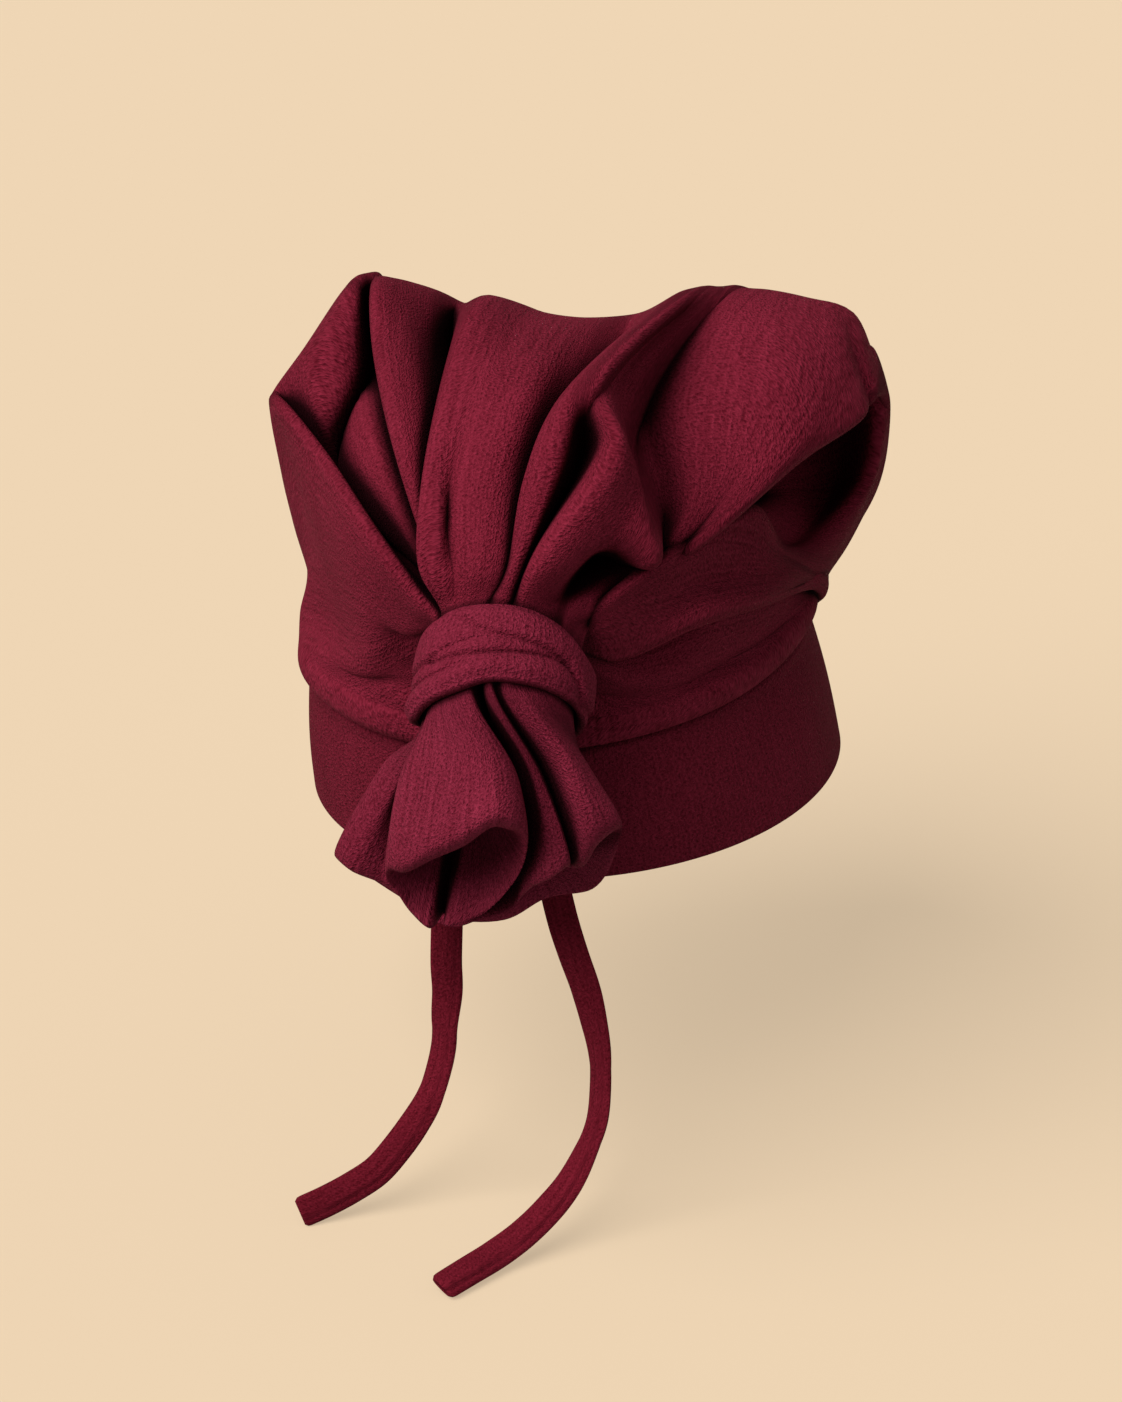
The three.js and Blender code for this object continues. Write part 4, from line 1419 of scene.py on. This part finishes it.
BACK_FLOOR = (2, -116, 38)
BACK_ROLLS = (
    Roll("fan_edge", 176, 23.5, (-33, -119, 47), (-49, -124, 19), (-48, -118, 15)),
    Roll("fan_face", 166, 24, (-26, -128, 46), (-42, -131, 17), (-41, -126, 15)),
    Roll("fan_crease", 158, 22, (-26, -124, 41), (-32, -129, 12), (-32, -123, 9)),
    Roll("bed_a", 146, 11, (-24, -118, 33), (-22, -131, 4), (-22, -127, 4)),
    Roll("bed_b", 125, 5, (-16, -108, 31), (-11, -134, 1), (-11, -130, 2)),
    Roll("bed_c", 100, 7, (2, -116, 39), (-1, -138, 6), (-2, -134, 7)),
    Roll("under_fold", 92, 17, (10, -127, 44), (9, -141, 11), (6, -136, 12)),
    Roll("fold_edge", 91, 22, (14.5, -141, 56), (16.5, -147, 22), (18, -140, 22)),
    Roll("side_roll", 88, 24, (20, -147, 58), (25, -151, 28), (23, -145, 27)),
    Roll("side_edge", 84, 24, (22, -145, 58), (30, -150, 33), (26, -144, 28)),
    Roll("side_crease", 80, 21, (20, -133, 52), (27, -136, 26), (26, -130, 21)),
    Roll("far_fold", 76, 24, (24, -143, 59), (33, -146, 32), (32, -139, 27)),
    Roll("far_face", 66, 24, (30, -146, 65), (38, -149, 41), (37, -141, 35)),
    Roll("far_edge", 50, 24, (34, -138, 59), (44, -142, 43), (41, -136, 37)),
    Roll("far_side", 25, 24, (33, -121, 43), (40, -131, 27), (37, -130, 27)),
    Roll("far_under", -10, 24, (27, -107, 26), (30, -120, 9), (28, -121, 12)),
    Roll("back_a", -50, 24, (17, -102, 19), (14, -114, 2), (14, -116, 6)),
    Roll("back_b", -90, 24, (-3, -101, 18), (1, -116, -5), (1, -119, -1)),
    Roll("back_c", -130, 24, (-21, -102, 21), (-19, -118, -4), (-18, -120, 1)),
    Roll("fan_under", -165, 24, (-35, -108, 30), (-42, -119, 10), (-41, -119, 11)),
)


@dataclass
class ClothEnd(HatPart):
    """One rolled end of the knotted cloth, hanging below the wrap.

    Attributes:
        rolls: Its lines.
        floor: The deepest place of its hollow, in millimetres.
        steps: Rows of faces between one place of a line and the next.
        strip: Columns of faces between two lines.
        root_start: Where the cloth starts inside the wrap, along the knot, in millimetres.
        root_share: How wide it is there, as a share of its width at the wrap's edge.
        root_below: How far below the wrap's edge that width is reached, in millimetres.
        deepening: How far the last row lies from the mouth to the floor, as a share.
    """

    rolls: tuple[Roll, ...]
    floor: Place
    name: str
    node: str
    slot: str
    finish: ClothFinish
    steps: tuple[int, ...] = (4, 14, 14, 6, 8)
    strip: int = 8
    root_start: float = -3.5
    root_share: float = 0.96
    root_below: float = 1.0
    deepening: float = 0.62

    def build(self) -> ClothMesh:
        """Makes the rings of the end from the wrap, over its lip, to the floor of its hollow.

        Returns:
            The end's mesh.
        """
        lines = np.stack([self._line(roll) for roll in self.rolls], axis=1)
        rows = smooth_through(lines, self.steps)
        rings = smooth_through(rows.transpose(1, 0, 2), [self.strip] * len(self.rolls), closed=True)
        rings = rings.transpose(1, 0, 2)
        return ClothMesh.tube_of(rings, rings[0].mean(axis=0), places([self.floor])[0])

    def _line(self, roll: Roll) -> np.ndarray:
        """Gives the places that one line of the end runs through.

        Args:
            roll: The line.

        Returns:
            An array of places, from inside the wrap to the deepest row.
        """
        mouth = float(WRAP_LOW.at(np.array([roll.turn]))[0][0]) - self.root_below
        root = knot_points(roll.turn, np.array([self.root_share, 1.0]) * roll.tuck * WRAP_DRAW,
                           np.array([self.root_start, mouth]))
        lower = places([roll.mid, roll.lip, roll.mouth])
        deep = lower[2] + (places([self.floor])[0] - lower[2]) * self.deepening
        return np.array([*root, *lower, deep])


# ---------- ties ----------


@dataclass(frozen=True)
class TieRoute:
    """The middle line of a tie and how its flat is turned.

    Attributes:
        points: Places along it in metres, from the band behind the cloth ends to its tip.
        turns: Degrees the flat is turned about the line, at even shares of its length.
    """

    points: tuple[Place, ...]
    turns: tuple[float, ...]


TIE_RIGHT = TieRoute(
    points=(
        (-0.02, -0.0975, 0.008), (-0.0205, -0.098, -0.001), (-0.0215, -0.0995, -0.0105),
        (-0.022, -0.101, -0.0195), (-0.0225, -0.102, -0.029), (-0.0225, -0.103, -0.038),
        (-0.0235, -0.1045, -0.047), (-0.024, -0.1065, -0.056), (-0.026, -0.109, -0.065),
        (-0.029, -0.1115, -0.0735), (-0.0335, -0.1145, -0.081), (-0.0385, -0.119, -0.0875),
        (-0.044, -0.124, -0.093), (-0.051, -0.128, -0.097), (-0.0585, -0.1325, -0.1),
        (-0.0665, -0.137, -0.1025),
    ),
    turns=(-8, -14, -10, 30, 32, 4, 0, -6),
)
TIE_LEFT = TieRoute(
    points=(
        (0.012, -0.0985, 0.008), (0.0135, -0.0995, -0.0025), (0.016, -0.1015, -0.013),
        (0.019, -0.103, -0.023), (0.0225, -0.1045, -0.0335), (0.025, -0.1065, -0.0435),
        (0.027, -0.109, -0.054), (0.0275, -0.1125, -0.064), (0.027, -0.118, -0.0735),
        (0.024, -0.1245, -0.0815), (0.02, -0.1315, -0.0885), (0.0145, -0.139, -0.094),
        (0.008, -0.1465, -0.0985), (0.001, -0.154, -0.1015), (-0.0055, -0.1625, -0.1025),
        (-0.012, -0.171, -0.1035),
    ),
    turns=(0, 0, 12, 42, 40, 8, 0, 8),
)


@dataclass(frozen=True)
class TipRing:
    """One ring of a tie's rolled-in tip.

    Attributes:
        inset: How far inside the tip it lies, in millimetres.
        width: Its width, as a share of the tie's.
        thickness: Its thickness, as a share of the tie's.
    """

    inset: float
    width: float
    thickness: float


TIP_RINGS = (TipRing(0.0, 0.62, 0.34), TipRing(1.0, 0.56, 0.26), TipRing(4.0, 0.5, 0.22))


@dataclass
class Tie(HatPart):
    """A flat sewn tie that hangs from the band.

    Attributes:
        route: Its middle line and turns.
        sides: Faces round its section.
        step: Length of one row of faces, in metres.
        fullness: How round its section is across and up, from 1 for an oval down to 0 for a box.
        hem: Where its sewn edge runs, as a share of its width from the middle.
        hem_depth: How far the cloth beside the sewn edge lies lower, in metres.
        hem_width: How wide the sewn groove is, as a share of the tie's width.
        hem_rise: Over what share of the width the cloth rises beside it.
        upper_rise: How far over its middle its upper face starts, in metres.
        stitch: Length of one stitch, in metres.
        stitch_depths: How deep the groove is on the whole, and how much the stitches change it.
        tip: Over what length its end is rolled in, in metres.
        tip_loss: How much narrower and thinner it gets there, as shares.
    """

    route: TieRoute
    name: str
    node: str
    slot: str = "tie_cloth"
    finish: ClothFinish = TIE_FINISH
    sides: int = 48
    step: float = 0.9 * MM
    fullness: tuple[float, float] = (0.72, 0.8)
    hem: float = 0.24
    hem_depth: float = 0.45 * MM
    hem_width: float = 0.055
    hem_rise: float = 0.06
    upper_rise: float = 0.4 * MM
    stitch: float = 3.4 * MM
    stitch_depths: tuple[float, float] = (0.7, 0.5)
    tip: float = 2.2 * MM
    tip_loss: tuple[float, float] = (0.2, 0.42)

    def line(self) -> np.ndarray:
        """Gives even points along the tie's middle line.

        Returns:
            An array (points, 3) in metres.
        """
        points = np.array(self.route.points)[:, None]
        dense = smooth_through(points, [CURVE_STEPS] * (len(points) - 1))[:, 0]
        lengths = np.concatenate([[0.0], np.cumsum(np.linalg.norm(np.diff(dense, axis=0), axis=1))])
        shares = np.linspace(0, lengths[-1], max(2, round(lengths[-1] / self.step)) + 1)
        return np.stack([np.interp(shares, lengths, dense[:, axis]) for axis in range(3)], axis=1)

    def length(self) -> float:
        """Gives the tie's length in metres."""
        return float(np.linalg.norm(np.diff(self.line(), axis=0), axis=1).sum())

    def build(self) -> ClothMesh:
        """Sweeps the tie's flat section along its line and closes its two ends.

        Returns:
            The tie's mesh.
        """
        line = self.line()
        wides, thins = self._frames(line)
        length = self.length()
        grid = []
        for i, (point, wide, thin) in enumerate(zip(line, wides, thins)):
            across, up = self._section(length * i / (len(line) - 1), length)
            grid.append(point + across[:, None] * wide + up[:, None] * thin)
        back = line[-2] - line[-1]
        back /= np.linalg.norm(back)
        for ring in TIP_RINGS:
            across, up = self._flat(ring.width, ring.thickness)
            middle = line[-1] + back * ring.inset * MM
            grid.append(middle + across[:, None] * wides[-1] + up[:, None] * thins[-1])
        rings = np.array(grid)
        return ClothMesh.tube_of(rings, line[0], rings[-1].mean(axis=0))

    def _frames(self, line: np.ndarray) -> tuple[np.ndarray, np.ndarray]:
        """Turns the tie's flat along its line.

        Args:
            line: Points along the tie.

        Returns:
            The directions of its width and of its thickness at each point.
        """
        tangents = np.gradient(line, axis=0)
        tangents /= np.linalg.norm(tangents, axis=1, keepdims=True)
        stops = np.linspace(0, 1, len(self.route.turns))
        angles = np.radians(np.interp(np.linspace(0, 1, len(line)), stops, self.route.turns))
        wides, thins = [], []
        wide = np.array([1.0, 0, 0])
        for tangent, angle in zip(tangents, angles):
            wide = wide - tangent * (wide @ tangent)
            wide /= np.linalg.norm(wide)
            thin = np.cross(tangent, wide)
            wides.append(wide * math.cos(angle) + thin * math.sin(angle))
            thins.append(thin * math.cos(angle) - wide * math.sin(angle))
        return np.array(wides), np.array(thins)

    def _section(self, place: float, length: float) -> tuple[np.ndarray, np.ndarray]:
        """Gives the tie's section with its sewn edge.

        Args:
            place: How far along the tie it lies, in metres.
            length: The tie's length.

        Returns:
            The section's places across and up.
        """
        rolled = 1 - math.sqrt(max(0.0, 1 - max(0.0, 1 - (length - place) / self.tip) ** 2))
        across, up = self._flat(*(1 - loss * rolled for loss in self.tip_loss))
        beside = across / TIE_WIDTH - self.hem
        upper = smoothstep(up, 0.0, self.upper_rise) * (1 - rolled)
        groove, wave = self.stitch_depths
        depth = groove + wave * math.sin(2 * math.pi * place / self.stitch)
        seam = np.exp(-(beside / self.hem_width) ** 2) * depth
        lower = smoothstep(beside, 0.0, self.hem_rise)
        return across, up - upper * (seam + lower) * self.hem_depth

    def _flat(self, wide_share: float, thick_share: float) -> tuple[np.ndarray, np.ndarray]:
        """Gives a flat strip's section with rounded edges.

        Args:
            wide_share: Its width, as a share of the tie's.
            thick_share: Its thickness, as a share of the tie's.

        Returns:
            The section's places across and up.
        """
        angle = np.linspace(0, 2 * math.pi, self.sides, endpoint=False)
        sizes = (TIE_WIDTH * wide_share, TIE_THICKNESS * thick_share)
        across, up = (
            np.sign(wave) * np.abs(wave) ** power * size / 2
            for wave, power, size in zip((np.cos(angle), np.sin(angle)), self.fullness, sizes)
        )
        return across, up

    def add(self) -> bpy.types.Object:
        """Returns:
            The tie's object.
        """
        piece = super().add()
        length = self.length()
        LOG.info("%s: %.1f mm long", self.name, length / MM)
        return piece


# ---------- camera and studio ----------


@dataclass(frozen=True)
class CameraView:
    """Where the camera stands.

    Attributes:
        azimuth: Degrees from the front towards the wearer's left.
        elevation: Degrees over the level.
        roll: Degrees the hat is turned counter-clockwise in the picture.
        distance: From the origin, in metres.
        lens: Focal length in millimetres.
        sensor: The sensor's longer side in millimetres.
        shift: Share of the longer side that the frame is moved by, across and up.
    """

    azimuth: float = 13.0
    elevation: float = 24.0
    roll: float = 3.0
    distance: float = 1.115
    lens: float = 85.0
    sensor: float = 36.0
    shift: tuple[float, float] = (-0.01213, 0.03495)

    def add(self) -> bpy.types.Object:
        """Creates the camera and makes it the scene's own.

        Returns:
            The camera.
        """
        turn, tilt = math.radians(self.azimuth), math.radians(self.roll)
        back = direction_to(self.azimuth, self.elevation)
        level = Vector((math.cos(turn), math.sin(turn), 0))
        upright = back.cross(level)
        right = level * math.cos(tilt) - upright * math.sin(tilt)
        up = level * math.sin(tilt) + upright * math.cos(tilt)
        lens = bpy.data.cameras.new("camera")
        lens.lens = self.lens
        lens.sensor_width = self.sensor
        lens.shift_x, lens.shift_y = self.shift
        camera = new_object("camera", lens)
        place = Matrix((right, up, back)).transposed().to_4x4()
        place.translation = back * self.distance
        camera.matrix_world = place
        bpy.context.scene.camera = camera
        return camera


@dataclass(frozen=True)
class SoftLight:
    """A very wide and distant studio light.

    Attributes:
        name: Its name.
        azimuth: Degrees from the front towards the wearer's left.
        elevation: Degrees over the level.
        spread: How wide it looks from the hat, in degrees.
        strength: In watts per square metre.
        colour: Its linear colour.
    """

    name: str
    azimuth: float
    elevation: float
    spread: float
    strength: float
    colour: Place = (1.0, 0.97, 0.93)

    def add(self) -> None:
        """Creates the light."""
        light = bpy.data.lights.new(self.name, "SUN")
        light.angle = math.radians(self.spread)
        light.energy = self.strength
        light.color = self.colour
        lamp = new_object(self.name, light)
        away = direction_to(self.azimuth, self.elevation)
        lamp.location = away
        lamp.rotation_euler = away.to_track_quat("Z", "Y").to_euler()


@dataclass(frozen=True)
class Studio:
    """A pale paper floor, soft lights and an even surrounding.

    Attributes:
        paper: Linear colour of the paper.
        half_size: Half the floor's side, in metres.
        gap: How far the floor lies below the ties' tips, in metres.
        surround: Colour of the light from all round.
        strength: Its strength.
        glow: Share of the paper's brightness that it gives off itself, as a lit table does.
        roughness: The paper's roughness.
        specular: How strongly it shines.
        lights: The lights.
    """

    paper: Place = (0.815, 0.64, 0.445)
    half_size: float = 25.0
    gap: float = 0.2 * MM
    surround: Place = (1.0, 0.97, 0.94)
    strength: float = 0.32
    glow: float = 0.62
    roughness: float = 0.95
    specular: float = 0.1
    lights: tuple[SoftLight, ...] = (
        SoftLight("key", azimuth=-42, elevation=48, spread=58, strength=3.5),
    )

    def add(self) -> None:
        """Creates the floor, the lights and the surrounding."""
        self._add_floor()
        for light in self.lights:
            light.add()
        world = bpy.data.worlds.new("surround")
        world.use_nodes = True
        background = world.node_tree.nodes["Background"]
        background.inputs["Color"].default_value = (*self.surround, 1)
        background.inputs["Strength"].default_value = self.strength
        bpy.context.scene.world = world
        bpy.context.scene.view_settings.view_transform = "Standard"

    def _add_floor(self) -> None:
        """Lays the paper just below the ties' tips."""
        low = CAD_BOX[0][2] - self.gap
        side = self.half_size
        mesh = bpy.data.meshes.new("paper_floor")
        mesh.from_pydata([(-side, -side, low), (side, -side, low), (side, side, low), (-side, side, low)],
                         [], [(0, 1, 2, 3)])
        floor = new_object("paper_floor", mesh)
        material = bpy.data.materials.new("paper")
        material.use_nodes = True
        shader = material.node_tree.nodes["Principled BSDF"]
        plain = tuple(value * (1 - self.glow) for value in self.paper)
        shader.inputs["Base Color"].default_value = (*plain, 1)
        shader.inputs["Emission Color"].default_value = (*self.paper, 1)
        shader.inputs["Emission Strength"].default_value = self.glow
        shader.inputs["Roughness"].default_value = self.roughness
        shader.inputs["Specular IOR Level"].default_value = self.specular
        mesh.materials.append(material)
        floor.visible_diffuse = False


def main() -> None:
    """Builds the scene in order: camera, ties, the hat's other pieces and the studio."""
    logging.basicConfig(level=logging.INFO, format="%(name)s: %(message)s")
    CameraView().add()
    parts: tuple[HatPart, ...] = (
        Tie(TIE_RIGHT, "tie_right_strip", "tie_right"),
        Tie(TIE_LEFT, "tie_left_strip", "tie_left"),
        Headband(),
        Crown(),
        KnotWrap(),
        ClothEnd(FRONT_ROLLS, FRONT_FLOOR, "knot_end_front_rolled", "knot_end_front", "front_end_cloth",
                 FRONT_FINISH),
        ClothEnd(BACK_ROLLS, BACK_FLOOR, "knot_end_back_rolled", "knot_end_back", "back_end_cloth",
                 BACK_FINISH),
    )
    # builds the pieces, then marks how deep each point lies in a fold, for the painted shade
    PaintedFoldShade().mark([part.add() for part in parts])
    Studio().add()


if __name__ == "__main__":
    main()
